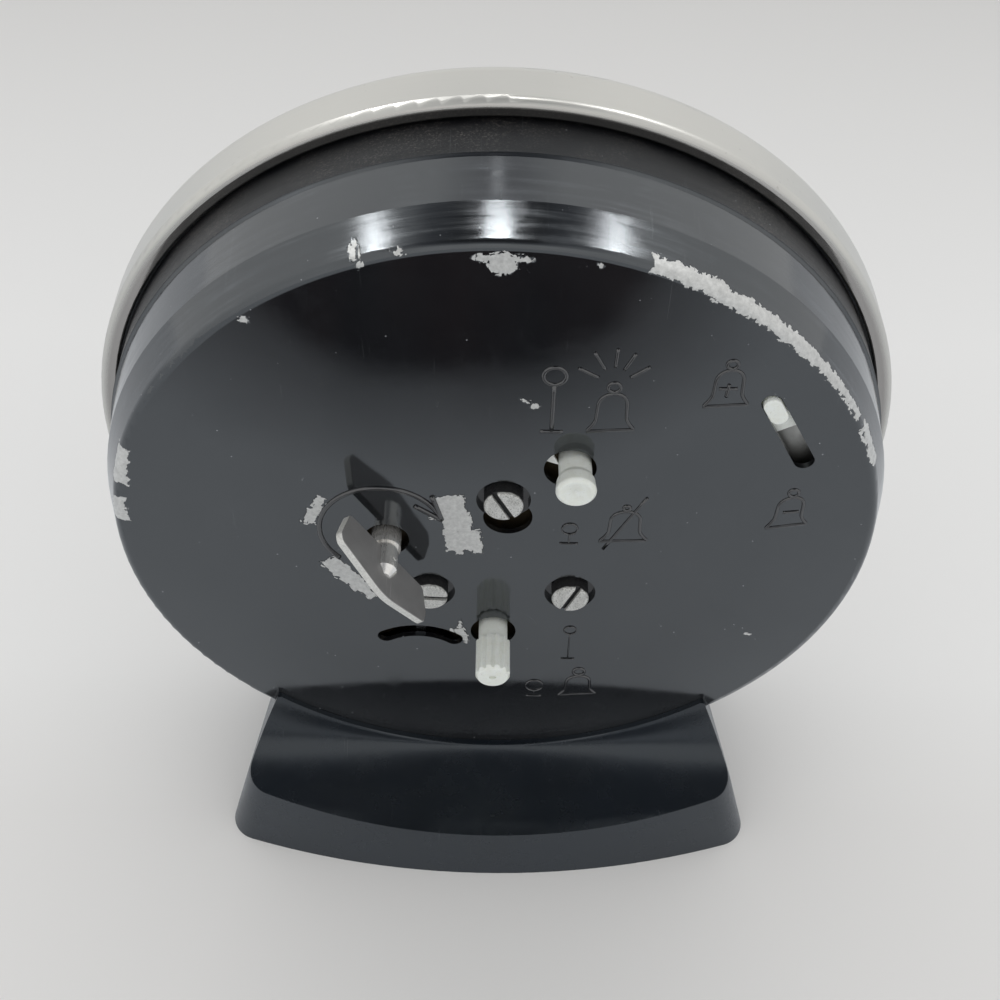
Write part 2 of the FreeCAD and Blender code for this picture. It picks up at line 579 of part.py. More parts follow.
def make_case():
    """The drawn metal cup: flat back, flaring wall with one crease, a straight band and a flange."""
    cup = turned("case_cup", [
        ("0", "0"), ("face_radius", "0"), ("crease_radius", "crease_depth"),
        ("ledge_radius", "ledge_depth"), ("band_radius", "ledge_depth + band_step"),
        ("band_radius", "flange_depth"), ("flange_radius", "flange_depth"),
        ("flange_radius", "flange_front"), ("band_inner", "flange_front"),
        ("band_inner", "ledge_depth + 2*band_step"),
        ("ledge_radius - case_wall", "ledge_depth + band_step"),
        ("crease_radius - case_wall", "crease_depth + band_step/2"),
        ("face_radius - case_wall", "case_wall"), ("0", "case_wall"),
    ])
    round_edges(cup, "face_round", circle_at("face_radius", "0"))
    windows = [("key_x", "key_y", "key_hole"), ("alarm_x + alarm_lean", "alarm_y", "alarm_hole"),
               ("set_x", "set_y", "set_hole")]
    windows += [(str(x), str(y), "screw_hole") for x, y, _ in SCREWS]
    pocket(cup, "case_wall + running", "case_wall + 4*running", circles=windows)
    slots = doc.addObject("Part::Feature", "BackWindows")
    slots.Shape = back_windows()
    case = doc.addObject("Part::Cut", "case_shell")
    case.Label = "case_shell"
    case.Base = cup
    case.Tool = slots
    in_drum(case)


def make_front():
    """Bezel, lens, reflector ring, dial and the moulded holder behind it."""
    bezel = turned("bezel", [
        ("bezel_lip", "bezel_rear"), ("bezel_radius", "bezel_rear"), ("bezel_radius", "bezel_front"),
        ("bezel_mouth", "bezel_front"), ("bezel_mouth", "bezel_front - bezel_sheet"),
        ("bezel_inner", "bezel_front - bezel_sheet"), ("bezel_inner", "bezel_rear + bezel_sheet"),
        ("bezel_lip", "bezel_rear + bezel_sheet"),
    ])
    round_edges(bezel, "bezel_round", circle_at("bezel_radius", "bezel_front"))
    round_edges(bezel, "bezel_round - bezel_sheet", circle_at("bezel_inner", "bezel_front - bezel_sheet"))
    round_edges(bezel, "bezel_roll", circle_at("bezel_radius", "bezel_rear"))
    round_edges(bezel, "bezel_edge", circle_at("bezel_lip", "bezel_rear"))
    in_drum(bezel)

    rim, back, front = size("lens_radius"), size("lens_back"), size("lens_front")
    throat, crown, wall = size("bezel_mouth") - 6 * size("running"), size("lens_crown"), size("lens_wall")
    outer = cap_arc(throat, front, crown)
    inner = cap_arc(throat - wall, back, crown - wall)
    edge = Part.makePolygon([
        Vector(throat, 0, front), Vector(rim, 0, front), Vector(rim, 0, back),
        Vector(throat - wall, 0, back)])
    axis = Part.makeLine(Vector(0, 0, crown - wall), Vector(0, 0, crown))
    section = Part.Face(Part.Wire([outer] + edge.Edges + [inner, axis]))
    solid("lens", section.revolve(Vector(0, 0, 0), Vector(0, 0, 1), 360))

    in_drum(turned("reflector_ring", [
        ("dial_radius - reflector_lip", "dial_front"), ("dial_radius", "dial_front"),
        ("dial_radius", "flange_front + holder_floor"),
        ("lens_radius", "flange_front + holder_floor"), ("lens_radius", "lens_back"),
        ("dial_radius + reflector_flare", "lens_back"),
    ]))
    in_drum(turned("dial", [
        ("dial_bore", "dial_depth"), ("dial_radius", "dial_depth"),
        ("dial_radius", "dial_front"), ("dial_bore", "dial_front"),
    ]))
    holder = turned("dial_holder", [
        ("holder_inner", "holder_back"), ("band_inner - running", "holder_back"),
        ("band_inner - running", "flange_front"), ("flange_radius", "flange_front"),
        ("flange_radius", "flange_front + holder_floor"),
        ("dial_radius + running", "flange_front + holder_floor"),
        ("dial_radius + running", "dial_depth"), ("holder_shelf", "dial_depth"),
        ("holder_shelf", "holder_back + holder_floor"), ("holder_inner", "holder_back + holder_floor"),
    ])
    pocket(holder, "holder_back + holder_floor", "holder_floor",
           circles=[(x, y, "post_screw") for x, y in POSTS])
    in_drum(holder)


def foot_section(level, half, middle, side, front):
    """One level outline of the foot: a bowed rear edge, sides that draw in, and a straight front.

    The rear edge runs through (0, middle) and ends at the height side of its two corners, and half is
    where its lines and those of the sides would cross."""
    corner, taper = size("foot_corner"), math.radians(size("foot_taper"))
    reach = half - corner
    bow = 2 * math.atan2(middle - side, reach)
    inward = Vector(-math.sin(taper), -math.cos(taper), 0)

    def rounded(apex, before, after, length):
        """The start, middle and end of an arc that cuts a corner, from its two straight directions."""
        half_turn = before.getAngle(after) / 2
        to_centre = (after - before).normalize()
        radius = length / math.tan(half_turn)
        return (apex - before * length, apex + to_centre * (radius / math.cos(half_turn) - radius),
                apex + after * length)

    cut = corner / math.cos(bow)
    rear = rounded(Vector(half, side - corner * math.tan(bow), 0),
                   Vector(math.cos(bow), -math.sin(bow), 0), inward, cut)
    narrow = half - math.tan(taper) * (rear[2].y + front + cut * math.cos(taper))
    nose = rounded(Vector(narrow, -front, 0), inward, Vector(-1, 0, 0), corner * math.cos(taper))

    def at(place, across=1):
        return Vector(across * place.x, place.y, level)

    edges = [
        Part.Arc(at(rear[0], -1), Vector(0, middle, level), at(rear[0])).toShape(),
        Part.Arc(at(rear[0]), at(rear[1]), at(rear[2])).toShape(),
        Part.makeLine(at(rear[2]), at(nose[0])),
        Part.Arc(at(nose[0]), at(nose[1]), at(nose[2])).toShape(),
        Part.makeLine(at(nose[2]), at(nose[2], -1)),
        Part.Arc(at(nose[2], -1), at(nose[1], -1), at(nose[0], -1)).toShape(),
        Part.makeLine(at(nose[0], -1), at(rear[2], -1)),
        Part.Arc(at(rear[2], -1), at(rear[1], -1), at(rear[0], -1)).toShape(),
    ]
    return Part.Wire(edges)


def drum_room(gap):
    """The room that the drum takes, a gap larger all round, in the foot's frame."""
    bezel = size("bezel_radius") + 6 * gap
    start = size("bezel_rear") - 6 * gap
    profile = [
        (0, -gap), (size("face_radius") + gap, -gap), (size("crease_radius") + gap, size("crease_depth")),
        (size("ledge_radius") + gap, size("ledge_depth")),
        (size("band_radius") + gap, size("ledge_depth") + size("band_step") - gap),
        (size("band_radius") + gap, start), (bezel, start), (bezel, 2 * size("foot_front")),
        (0, 2 * size("foot_front")),
    ]
    points = [Vector(r, 0, depth) for r, depth in profile]
    room = Part.Face(Part.makePolygon(points + points[:1])).revolve(Vector(0, 0, 0), Vector(0, 0, 1), 360)
    room.rotate(Vector(0, 0, 0), Vector(1, 0, 0), 90)
    room.translate(Vector(0, 0, size("axis_height")))
    return room


def ramp_room():
    """The room over the foot's ramp: level arcs that grow flatter from the lip behind the drum to the crest."""
    high, tail = size("axis_height"), size("foot_tail")
    lip_radius, lip_out = size("face_radius") - size("ramp_lip"), size("ramp_lip_out")
    arcs = [(lip_out, high - lip_radius, lip_radius)]
    for name in ("fillet", "high", "low"):
        arcs.append((size(f"ramp_{name}_out"), size(f"ramp_{name}"), size(f"ramp_{name}_radius")))
    arcs.append((tail, size("ramp_crest"), size("ramp_crest_radius")))
    arcs.append((2 * tail, size("ramp_crest"), size("ramp_crest_radius")))
    wires = []
    for out, low, radius in arcs:
        half = min(size("ramp_wide"), radius * math.sin(math.radians(60)))
        rise = radius - math.sqrt(radius * radius - half * half)
        left, right = Vector(-half, out, low + rise), Vector(half, out, low + rise)
        crown = Vector(0, 0, 2 * high - low - rise)
        wires.append(Part.Wire([
            Part.Arc(left, Vector(0, out, low), right).toShape(), Part.makeLine(right, right + crown),
            Part.makeLine(right + crown, left + crown), Part.makeLine(left + crown, left)]))
    lip_room = Part.makeCylinder(lip_radius, 2 * lip_out, Vector(0, -lip_out, high), Vector(0, 1, 0))
    return Part.makeLoft(wires, True, False), lip_room


def make_foot():
    """The moulded foot: steep walls, a hollowed ramp behind the drum, and a cradle for the drum."""
    half, tail, drop = size("foot_half"), size("foot_tail"), size("foot_tail_drop")
    top, front, draft = size("foot_top"), size("foot_front"), size("foot_front_draft")

    def level(height, across):
        share = height / top
        return foot_section(height, across, tail - share * size("foot_tail_draft"),
                            tail - drop - share * size("foot_side_draft"), front - share * draft)

    levels = [level(0, half), level(size("foot_waist"), size("foot_waist_half")),
              level(top, size("foot_top_half"))]
    block = Part.makeLoft(levels, True, True)
    for room in ramp_room():
        block = block.cut(room)
    block = block.cut(drum_room(size("foot_gap")))
    rim = size("foot_rim")
    hollow_front = size("bezel_rear") - rim / 2
    hollow = Part.Face(foot_section(0, half - rim, tail - rim, tail - drop - rim, hollow_front)).extrude(
        Vector(0, 0, size("foot_hollow")))
    block = block.cut(hollow)
    for side in (-1, 1):
        block = block.cut(Part.makeCylinder(
            size("foot_screw_radius") + size("running"), size("axis_height") / 2,
            Vector(side * size("foot_screw_x"), -size("foot_screw_depth"), 0)))
    foot = doc.addObject("Part::Feature", "foot")
    foot.Label = "foot"
    foot.Shape = block
    at_back(foot)

    ceiling, level = size("foot_hollow"), size("foot_nut_level")
    radius, head = size("foot_screw_radius"), size("foot_screw_head")
    nut_thick = 2 * size("case_wall")
    screws, nuts = [], []
    for side in (-1, 1):
        place = Vector(side * size("foot_screw_x"), -size("foot_screw_depth"), 0)
        screw = Part.makeCylinder(head, radius, Vector(0, 0, ceiling - radius))
        screw = screw.fuse(Part.makeCylinder(radius, level + nut_thick - ceiling, Vector(0, 0, ceiling)))
        slot = Part.makeBox(2 * head, radius / 2, radius / 2, Vector(-head, -radius / 4, ceiling - radius))
        screw = screw.cut(slot)
        screw.translate(place)
        screws.append(screw)
        nut = hexagon(2 * radius, level, level + nut_thick).cut(
            Part.makeCylinder(radius, nut_thick, Vector(0, 0, level)))
        nut.translate(place)
        nuts.append(nut)
    for label, shapes in (("foot_screws", screws), ("foot_nuts", nuts)):
        item = doc.addObject("Part::Feature", label)
        item.Label = label
        item.Shape = Part.makeCompound(shapes)
        at_back(item)


def bore_list(rear):
    """Every hole of one plate: x, y and radius, as sums of sizes."""
    play = "pivot_radius + running"
    holes = [("third_x", "third_y", play), ("fourth_x", "fourth_y", play),
             ("escape_x", "escape_y", play), ("bell_arbor_x", "bell_arbor_y", play),
             ("hammer_x", "hammer_y", play), ("fork_x", "fork_y", play),
             ("set_x", "set_y", "stem_radius + running"),
             ("alarm_x", "alarm_y", "stem_radius + running")]
    if rear:
        holes += [("0", "0", play), ("key_x", "key_y", "arbor_radius + running"),
                  ("balance_x", "balance_y", "cock_hole")]
    else:
        holes += [("0", "0", "minute_arbor + running"), ("key_x", "key_y", "arbor_pivot + running"),
                  ("balance_x", "balance_y", play), ("minute_x", "minute_y", "minute_stud")]
    return holes


def make_plates():
    """Two brass plates, the pillars and nuts between and on them, and the posts that hold them."""
    for label, level in (("rear_plate", "plate_rear"), ("front_plate", "plate_front")):
        plate = new_body(label)
        pad(plate, level, "plate_thick", circles=[("0", "0", "plate_radius")])
        reach = "plate_radius + plate_thick"
        for side, edge in (("-" + reach.replace("+", "-"), "-plate_left"), (reach, "plate_right")):
            pocket(plate, level + " + plate_thick", "plate_thick", outline=[
                (edge, "-" + reach.replace("+", "-")), (side, "-" + reach.replace("+", "-")),
                (side, reach), (edge, reach)])
        holes = bore_list(label == "rear_plate")
        if label == "rear_plate":
            holes += [(str(x), str(y), "pillar_screw") for x, y in PILLARS]
        else:
            holes += [(str(x), str(y), "pillar_screw") for x, y in PILLARS]
            holes += [(x, y, "post_screw") for x, y in POSTS]
        pocket(plate, level + " + plate_thick", "plate_thick", circles=holes)
        in_drum(plate)

    low, high = size("plate_rear"), size("plate_front_out")
    nut = size("nut_thick")
    pillar = stepped([
        (size("pillar_radius"), size("plate_rear_in"), size("plate_front")),
        (size("pillar_screw"), low, size("plate_rear_in")),
        (size("pillar_screw"), size("plate_front"), high + nut)])
    solid("plate_pillars", at_each(pillar, PILLARS))
    solid("pillar_nuts", at_each(
        hexagon(size("nut_radius"), high, high + nut).cut(disc(size("pillar_screw"), high, high + nut)),
        PILLARS))
    flange = size("case_wall") + size("screw_flange_thick")
    post = stepped([
        (size("screw_flange"), size("case_wall"), flange), (size("screw_post"), flange, low)])
    post = post.cut(disc(size("screw_shank"), size("case_wall"), low))
    solid("screw_posts", at_each(post, [(x, y) for x, y, _ in SCREWS]))
    screws = []
    for x, y, turn in SCREWS:
        top = -size("screw_proud")
        head = disc(size("screw_head"), top, size("case_wall"))
        head = head.makeFillet(size("screw_round"), [
            edge for edge in head.Edges if abs(edge.BoundBox.ZMax - top) < size("running")])
        screw = head.fuse(disc(size("screw_shank"), size("case_wall"), low - size("pivot_play")))
        slot = Part.makeBox(
            2 * size("screw_head"), size("screw_slot"), size("screw_slot_deep") + size("screw_round"),
            Vector(-size("screw_head"), -size("screw_slot") / 2, top - size("screw_round")))
        slot.rotate(Vector(0, 0, 0), Vector(0, 0, 1), turn)
        screw = screw.cut(slot)
        screw.translate(Vector(x, y, 0))
        screws.append(screw)
    solid("back_screws", Part.makeCompound(screws))
    back = size("holder_back")
    holder_post = disc(size("post_radius"), high, back, size("post_screw"))
    solid("holder_posts", at_each(holder_post, POSTS))
    seat = back + size("holder_floor")
    holder_screw = disc(size("post_head"), seat, seat + size("post_head_thick"))
    holder_screw = holder_screw.fuse(disc(size("post_screw"), size("plate_front"), seat))
    solid("holder_screws", at_each(holder_screw, POSTS))


def arbor_shaft(radius, centre_low="plate_rear_in", centre_high="plate_front"):
    """A plain arbor with a pivot in each plate."""
    play = size("pivot_play")
    return stepped([
        (radius, size(centre_low) + play, size(centre_high) - play),
        (size("pivot_radius"), size("plate_rear") + play, size(centre_low) + play),
        (size("pivot_radius"), size(centre_high) - play, size("plate_front_out") - play)])


def make_winding():
    """Key, arbor, pin, ratchet and click, the bell's great wheel, and the barrel with its spring."""
    arbor = turned("winding_arbor", [
        ("0", "-arbor_reach"), ("arbor_neck/2", "-arbor_reach + running*4"),
        ("arbor_neck", "-arbor_reach + running*24"), ("arbor_neck", "-arbor_collar"),
        ("arbor_radius", "-arbor_collar"), ("arbor_radius", "plate_rear_in + running"),
        ("arbor_inner", "plate_rear_in + running"), ("arbor_inner", "plate_front - pivot_play"),
        ("arbor_pivot", "plate_front - pivot_play"), ("arbor_pivot", "plate_front_out - pivot_play"),
        ("0", "plate_front_out - pivot_play"),
    ])
    pocket(arbor, "0", "arbor_slot", role="XZ_Plane", both=True, outline=[
        ("-arbor_radius", "-arbor_reach - running"), ("arbor_radius", "-arbor_reach - running"),
        ("arbor_radius", "-arbor_slot_end"), ("-arbor_radius", "-arbor_slot_end")])
    pocket(arbor, "0", "2*arbor_radius", role="XZ_Plane", both=True,
           circles=[("0", "-key_pin_reach", "key_pin_radius")])
    in_drum(arbor, "key_x", "key_y", turn=size("key_turn"))

    key = new_body("winding_key")
    pad(key, "0", "key_thick", role="XZ_Plane", both=True, outline=[
        ("-key_foot_left", "-key_foot"), ("key_foot_right", "-key_foot"),
        ("key_right", "-key_right_low"), ("key_right_in", "-key_right_high"), ("0", "-key_crest"),
        ("-key_left_in", "-key_left_high"), ("-key_left", "-key_left_low")])
    pocket(key, "0", "2*key_thick", role="XZ_Plane", both=True,
           circles=[("0", "-key_pin_reach", "key_pin_radius")])

    def across(edge):
        return abs(edge.BoundBox.YLength - size("key_thick")) < 1e-4 and edge.BoundBox.XLength < 1e-4

    round_edges(key, "key_round", lambda edge: across(edge) and abs(edge.BoundBox.XMin) > 1)
    round_edges(key, "key_crest", lambda edge: across(edge) and abs(edge.BoundBox.XMin) < 1e-4)
    half = size("key_thick") / 2

    def rim(edge):
        box = edge.BoundBox
        on_face = box.YLength < 1e-4 and abs(abs(box.YMin) - half) < 1e-4
        return on_face and not (abs(box.XMin + box.XMax) < 1e-4 and box.XLength < 1)

    round_edges(key, "key_edge", rim)
    in_drum(key, "key_x", "key_y", turn=size("key_turn"))
    pin_reach = size("arbor_neck") + size("running")
    pin = Part.makeCylinder(
        size("key_pin_radius"), 2 * pin_reach, Vector(0, -pin_reach, -size("key_pin_reach")), Vector(0, 1, 0))
    solid("key_pin", pin, "key_x", "key_y", turn=size("key_turn"))

    low = size("ratchet_level")
    high = low + size("ratchet_thick")
    radius, teeth = size("ratchet_radius"), int(size("ratchet_teeth"))
    corners = []
    for i in range(teeth):
        corners.append(polar(radius, 360.0 * i / teeth))
        corners.append(polar(radius - size("ratchet_step"), 360.0 * i / teeth))
    ratchet = slab(corners, low, high).cut(disc(size("arbor_inner"), low, high))
    solid("ratchet_wheel", ratchet, "key_x", "key_y")
    gap = 2 * size("running")
    tip = radius + gap
    eye_x, eye_y, half = tip + size("click_reach"), size("click_rise"), size("click_width") / 2
    hole = size("click_pivot")
    nose = slab([(tip, 0), (eye_x - half, eye_y - half), (eye_x + half, eye_y - half),
                 (eye_x - half, -half)], low, high)
    click = nose.fuse(disc(size("click_eye"), low, high, 0.0, eye_x, eye_y))
    click = click.cut(disc(hole, low, high, 0.0, eye_x, eye_y))
    click = click.fuse(disc(hole, low, size("bell_level") + size("wheel_thick"), 0.0, eye_x, eye_y))
    solid("click", click.removeSplitter(), "key_x", "key_y")
    strip_radius, start = tip + size("click_strip_reach"), size("click_strip_start")
    strip_half, sweep = size("click_strip_half"), size("click_strip_sweep")
    strip = arc_slot(0, 0, strip_radius, strip_half, start, sweep, low, high)
    end = start + sweep + strip_half
    foot = disc(size("click_strip_foot"), low, size("bell_level"), 0.0, *polar(strip_radius, end))
    solid("click_spring", strip.fuse(foot), "key_x", "key_y")

    low = size("bell_level")
    high = low + size("wheel_thick")
    bore = size("arbor_inner") + size("running")
    wheel = gear(size("bell_great_teeth"), size("bell_module"), size("bell_arbor_turn"), low, high, bore)
    wheel = wheel.cut(disc(hole, low, high, 0.0, eye_x, eye_y))
    solid("bell_great_wheel", wheel, "key_x", "key_y")

    back, top = size("barrel_level"), size("barrel_top")
    great = size("great_level")
    outer, inner = size("barrel_radius"), size("barrel_radius") - size("barrel_wall")
    turn = meshing_turn(size("centre_pinion_teeth"), 0, size("great_teeth"), size("key_angle"))
    drum = gear(size("great_teeth"), size("great_module"), turn, great, great + size("great_thick"), bore)
    drum = drum.fuse(disc(outer, top, great, inner))
    solid("barrel", drum, "key_x", "key_y")
    in_drum(turned("barrel_cover", [
        ("arbor_inner + running", "barrel_level"), ("barrel_radius", "barrel_level"),
        ("barrel_radius", "barrel_top"), ("arbor_inner + running", "barrel_top")]), "key_x", "key_y")
    gap = 4 * size("running")
    spring = coil(size("spring_inner"), size("spring_pitch"), size("spring_turns"),
                  size("spring_thick"), top + gap, great - gap)
    solid("mainspring", spring, "key_x", "key_y")


def spoked(teeth, module, turn, low, high, bore, spokes=4):
    """A toothed wheel crossed out to a few spokes."""
    wheel = gear(teeth, module, turn, low, high, bore)
    root = teeth * module / 2 - size("spoke_rim") * module
    width = size("spoke_width")
    ring = disc(root, low, high, bore + size("spoke_hub"))
    bars = []
    for i in range(spokes):
        bar = Part.makeBox(2 * root, width, high - low, Vector(0, -width / 2, low))
        bar.rotate(Vector(0, 0, 0), Vector(0, 0, 1), 360.0 * i / spokes + size("spoke_turn"))
        bars.append(bar)
    return wheel.cut(ring.cut(bars))


def make_train():
    """Centre arbor and wheel, third, fourth and escape wheels, and the bell's own escape wheel."""
    thick = size("wheel_thick")
    radius = size("minute_arbor")
    shaft = stepped([
        (radius, size("plate_rear_in") + size("pivot_play"), size("minute_end") + size("hand_nut_thick")),
        (size("pivot_radius"), size("plate_rear") + size("pivot_play"),
         size("plate_rear_in") + size("pivot_play"))])
    low = size("centre_pinion_level")
    pinion = gear(size("centre_pinion_teeth"), size("great_module"), 0, low,
                  low + size("centre_pinion_long"))
    solid("centre_arbor", shaft.fuse(pinion))
    low = size("centre_level")
    solid("centre_wheel", spoked(
        size("centre_teeth"), size("centre_module"), size("third_angle"), low, low + thick, radius))

    third_turn = meshing_turn(
        size("centre_teeth"), size("third_angle"), size("third_pinion_teeth"), size("third_angle"))
    fourth_turn = meshing_turn(
        size("third_teeth"), size("fourth_turn"), size("fourth_pinion_teeth"), size("fourth_turn"))
    escape_turn = meshing_turn(
        size("fourth_teeth"), size("escape_turn"), size("escape_pinion_teeth"), size("escape_turn"))
    bell_turn = meshing_turn(
        size("bell_great_teeth"), size("bell_arbor_turn"), size("bell_pinion_teeth"),
        size("bell_arbor_turn"))
    rows = [
        ("third", "third_pinion", "centre_module", third_turn, "third_module", "fourth_turn"),
        ("fourth", "fourth_pinion", "third_module", fourth_turn, "fourth_module", "escape_turn"),
    ]
    for name, leaf, leaf_module, leaf_turn, module, turn in rows:
        made = arbor_shaft(size("arbor_thin"))
        low = size(leaf + "_level")
        made = made.fuse(gear(size(leaf + "_teeth"), size(leaf_module), leaf_turn, low,
                              low + size(leaf + "_long")))
        low = size(name + "_level")
        made = made.fuse(spoked(size(name + "_teeth"), size(module), size(turn), low, low + thick,
                                size("arbor_thin")))
        solid(name + "_wheel", made, name + "_x", name + "_y")
    for name, leaf, module, turn in (
            ("escape", "escape_pinion", "fourth_module", escape_turn),
            ("bell_escape", "bell_pinion", "bell_module", bell_turn)):
        made = arbor_shaft(size("arbor_thin"))
        low = size(leaf + "_level")
        made = made.fuse(gear(size(leaf + "_teeth"), size(module), turn, low, low + size(leaf + "_long")))
        low, radius = size(name + "_level"), size(name + "_radius")
        teeth = int(size(name + "_teeth"))
        corners = []
        for i in range(teeth):
            start = 360.0 * i / teeth
            corners.append(polar(radius, start))
            corners.append(polar(radius * CLUB_ROOT, start + CLUB_FRONT))
            corners.append(polar(radius * CLUB_ROOT, start + 360.0 / teeth - CLUB_BACK))
        made = made.fuse(slab(corners, low, low + thick))
        place = name if name == "escape" else "bell_arbor"
        solid(name + "_wheel", made, place + "_x", place + "_y")


def make_escapement():
    """Pallet fork, balance with its spring, the cock over it and the index lever."""
    away = heading("balance_x", "balance_y", "escape_x", "escape_y")
    low = size("fork_level")
    high = low + size("fork_thick")
    half = size("fork_half")
    fork = arbor_shaft(size("pivot_radius") + size("running"))
    arm = Part.makeBox(size("fork_arm"), 2 * half, high - low, Vector(-size("fork_arm"), -half, low))
    fork = fork.fuse(arm).fuse(disc(2 * half, low, high))
    pallet = math.sqrt(size("fork_reach") ** 2 - size("pallet_circle") ** 2)
    open_angle = math.degrees(math.acos(pallet / size("fork_reach")))
    pin_end = size("escape_level") + size("wheel_thick")
    for side in (-1, 1):
        bar = Part.makeBox(pallet, 2 * half, high - low, Vector(0, -half, low))
        bar.rotate(Vector(0, 0, 0), Vector(0, 0, 1), side * open_angle)
        x, y = polar(pallet, side * open_angle)
        fork = fork.fuse(bar).fuse(disc(half, low, high, 0.0, x, y))
        fork = fork.fuse(disc(size("pallet_pin"), high, pin_end, 0.0, x, y))
    solid("pallet_fork", fork.removeSplitter(), "fork_x", "fork_y", turn=away)

    low, high = size("balance_level"), size("balance_level") + size("balance_thick")
    radius, inner = size("balance_radius"), size("balance_radius") - size("balance_rim")
    play = size("pivot_play")
    wheel = disc(radius, low, high, inner)
    arm = size("balance_spoke")
    spoke_long = inner + size("balance_rim") / 2
    spoke = Part.makeBox(2 * spoke_long, 2 * arm, size("balance_thick") / 2, Vector(-spoke_long, -arm, low))
    wheel = wheel.fuse(spoke).fuse(disc(size("collet_radius"), size("hair_level"), low))
    wheel = wheel.fuse(disc(size("roller_radius"), low, size("fork_level") - 2 * play))
    wheel = wheel.fuse(stepped([
        (size("arbor_thin"), size("plate_rear") + play, size("plate_front") - play),
        (size("pivot_radius"), size("cock_level") + play, size("plate_rear") + play),
        (size("pivot_radius"), size("plate_front") - play, size("plate_front_out") - play)]))
    solid("balance_wheel", wheel.removeSplitter(), "balance_x", "balance_y")
    low = size("hair_level")
    spring = coil(size("hair_inner"), size("hair_pitch"), size("hair_turns"), size("hair_thick"),
                  low, low + size("hair_height"))
    solid("hairspring", spring, "balance_x", "balance_y")

    back, plate = size("cock_level"), size("plate_rear")
    half, width = size("cock_half"), size("cock_width")
    cock = Part.makeBox(2 * half, 2 * width, plate - back, Vector(-half, -width, back))
    cock = cock.cut(disc(size("pivot_radius") + size("running"), back, plate))
    cock = cock.fuse(disc(size("cock_boss"), size("index_level"), back))
    for side in (-1, 1):
        cock = cock.fuse(disc(size("cock_screw"), back - size("cock_screw_thick"), back, 0.0,
                              side * (half - size("cock_screw_inset")), 0.0))
    last = size("hair_inner") + size("hair_turns") * size("hair_pitch") + 3 * size("hair_thick")
    stud = disc(size("stud_radius"), plate, low + size("hair_height"), 0.0, last + size("stud_gap"), 0.0)
    cock = cock.fuse(stud)
    solid("balance_cock", cock.removeSplitter(), "balance_x", "balance_y")

    low, high = size("index_level"), size("cock_level") - size("running")
    boss, arm, bite = size("cock_boss"), size("index_arm"), size("index_bite")
    lever = disc(boss + size("index_ring"), low, high, boss + size("running"))
    bar = Part.makeBox(
        size("index_radius") - boss - bite, 2 * arm, high - low, Vector(boss + bite, -arm, low))
    lever = lever.fuse(bar).fuse(disc(size("index_pad"), low, high, 0.0, size("index_radius"), 0.0))
    for side in (-1, 1):
        x, y = polar(size("curb_radius"), side * size("curb_angle"))
        lever = lever.fuse(disc(size("curb_pin"), high, size("hair_level") + size("curb_long"), 0.0, x, y))
    solid("regulator", lever.removeSplitter(), "balance_x", "balance_y", turn=size("index_turn"))


def hand(reach, hub, bore, width, low, high):
    """A hand with a leaf-shaped blade and a round hub, pointing to twelve."""
    neck = width * NECK
    blade = slab([
        (-neck, 0), (-neck, reach * WAIST), (-width, reach * SHOULDER), (-width, reach * POINT),
        (0, reach), (width, reach * POINT), (width, reach * SHOULDER), (neck, reach * WAIST),
        (neck, 0)], low, high)
    return blade.fuse(disc(hub, low, high)).cut(disc(bore, low, high))


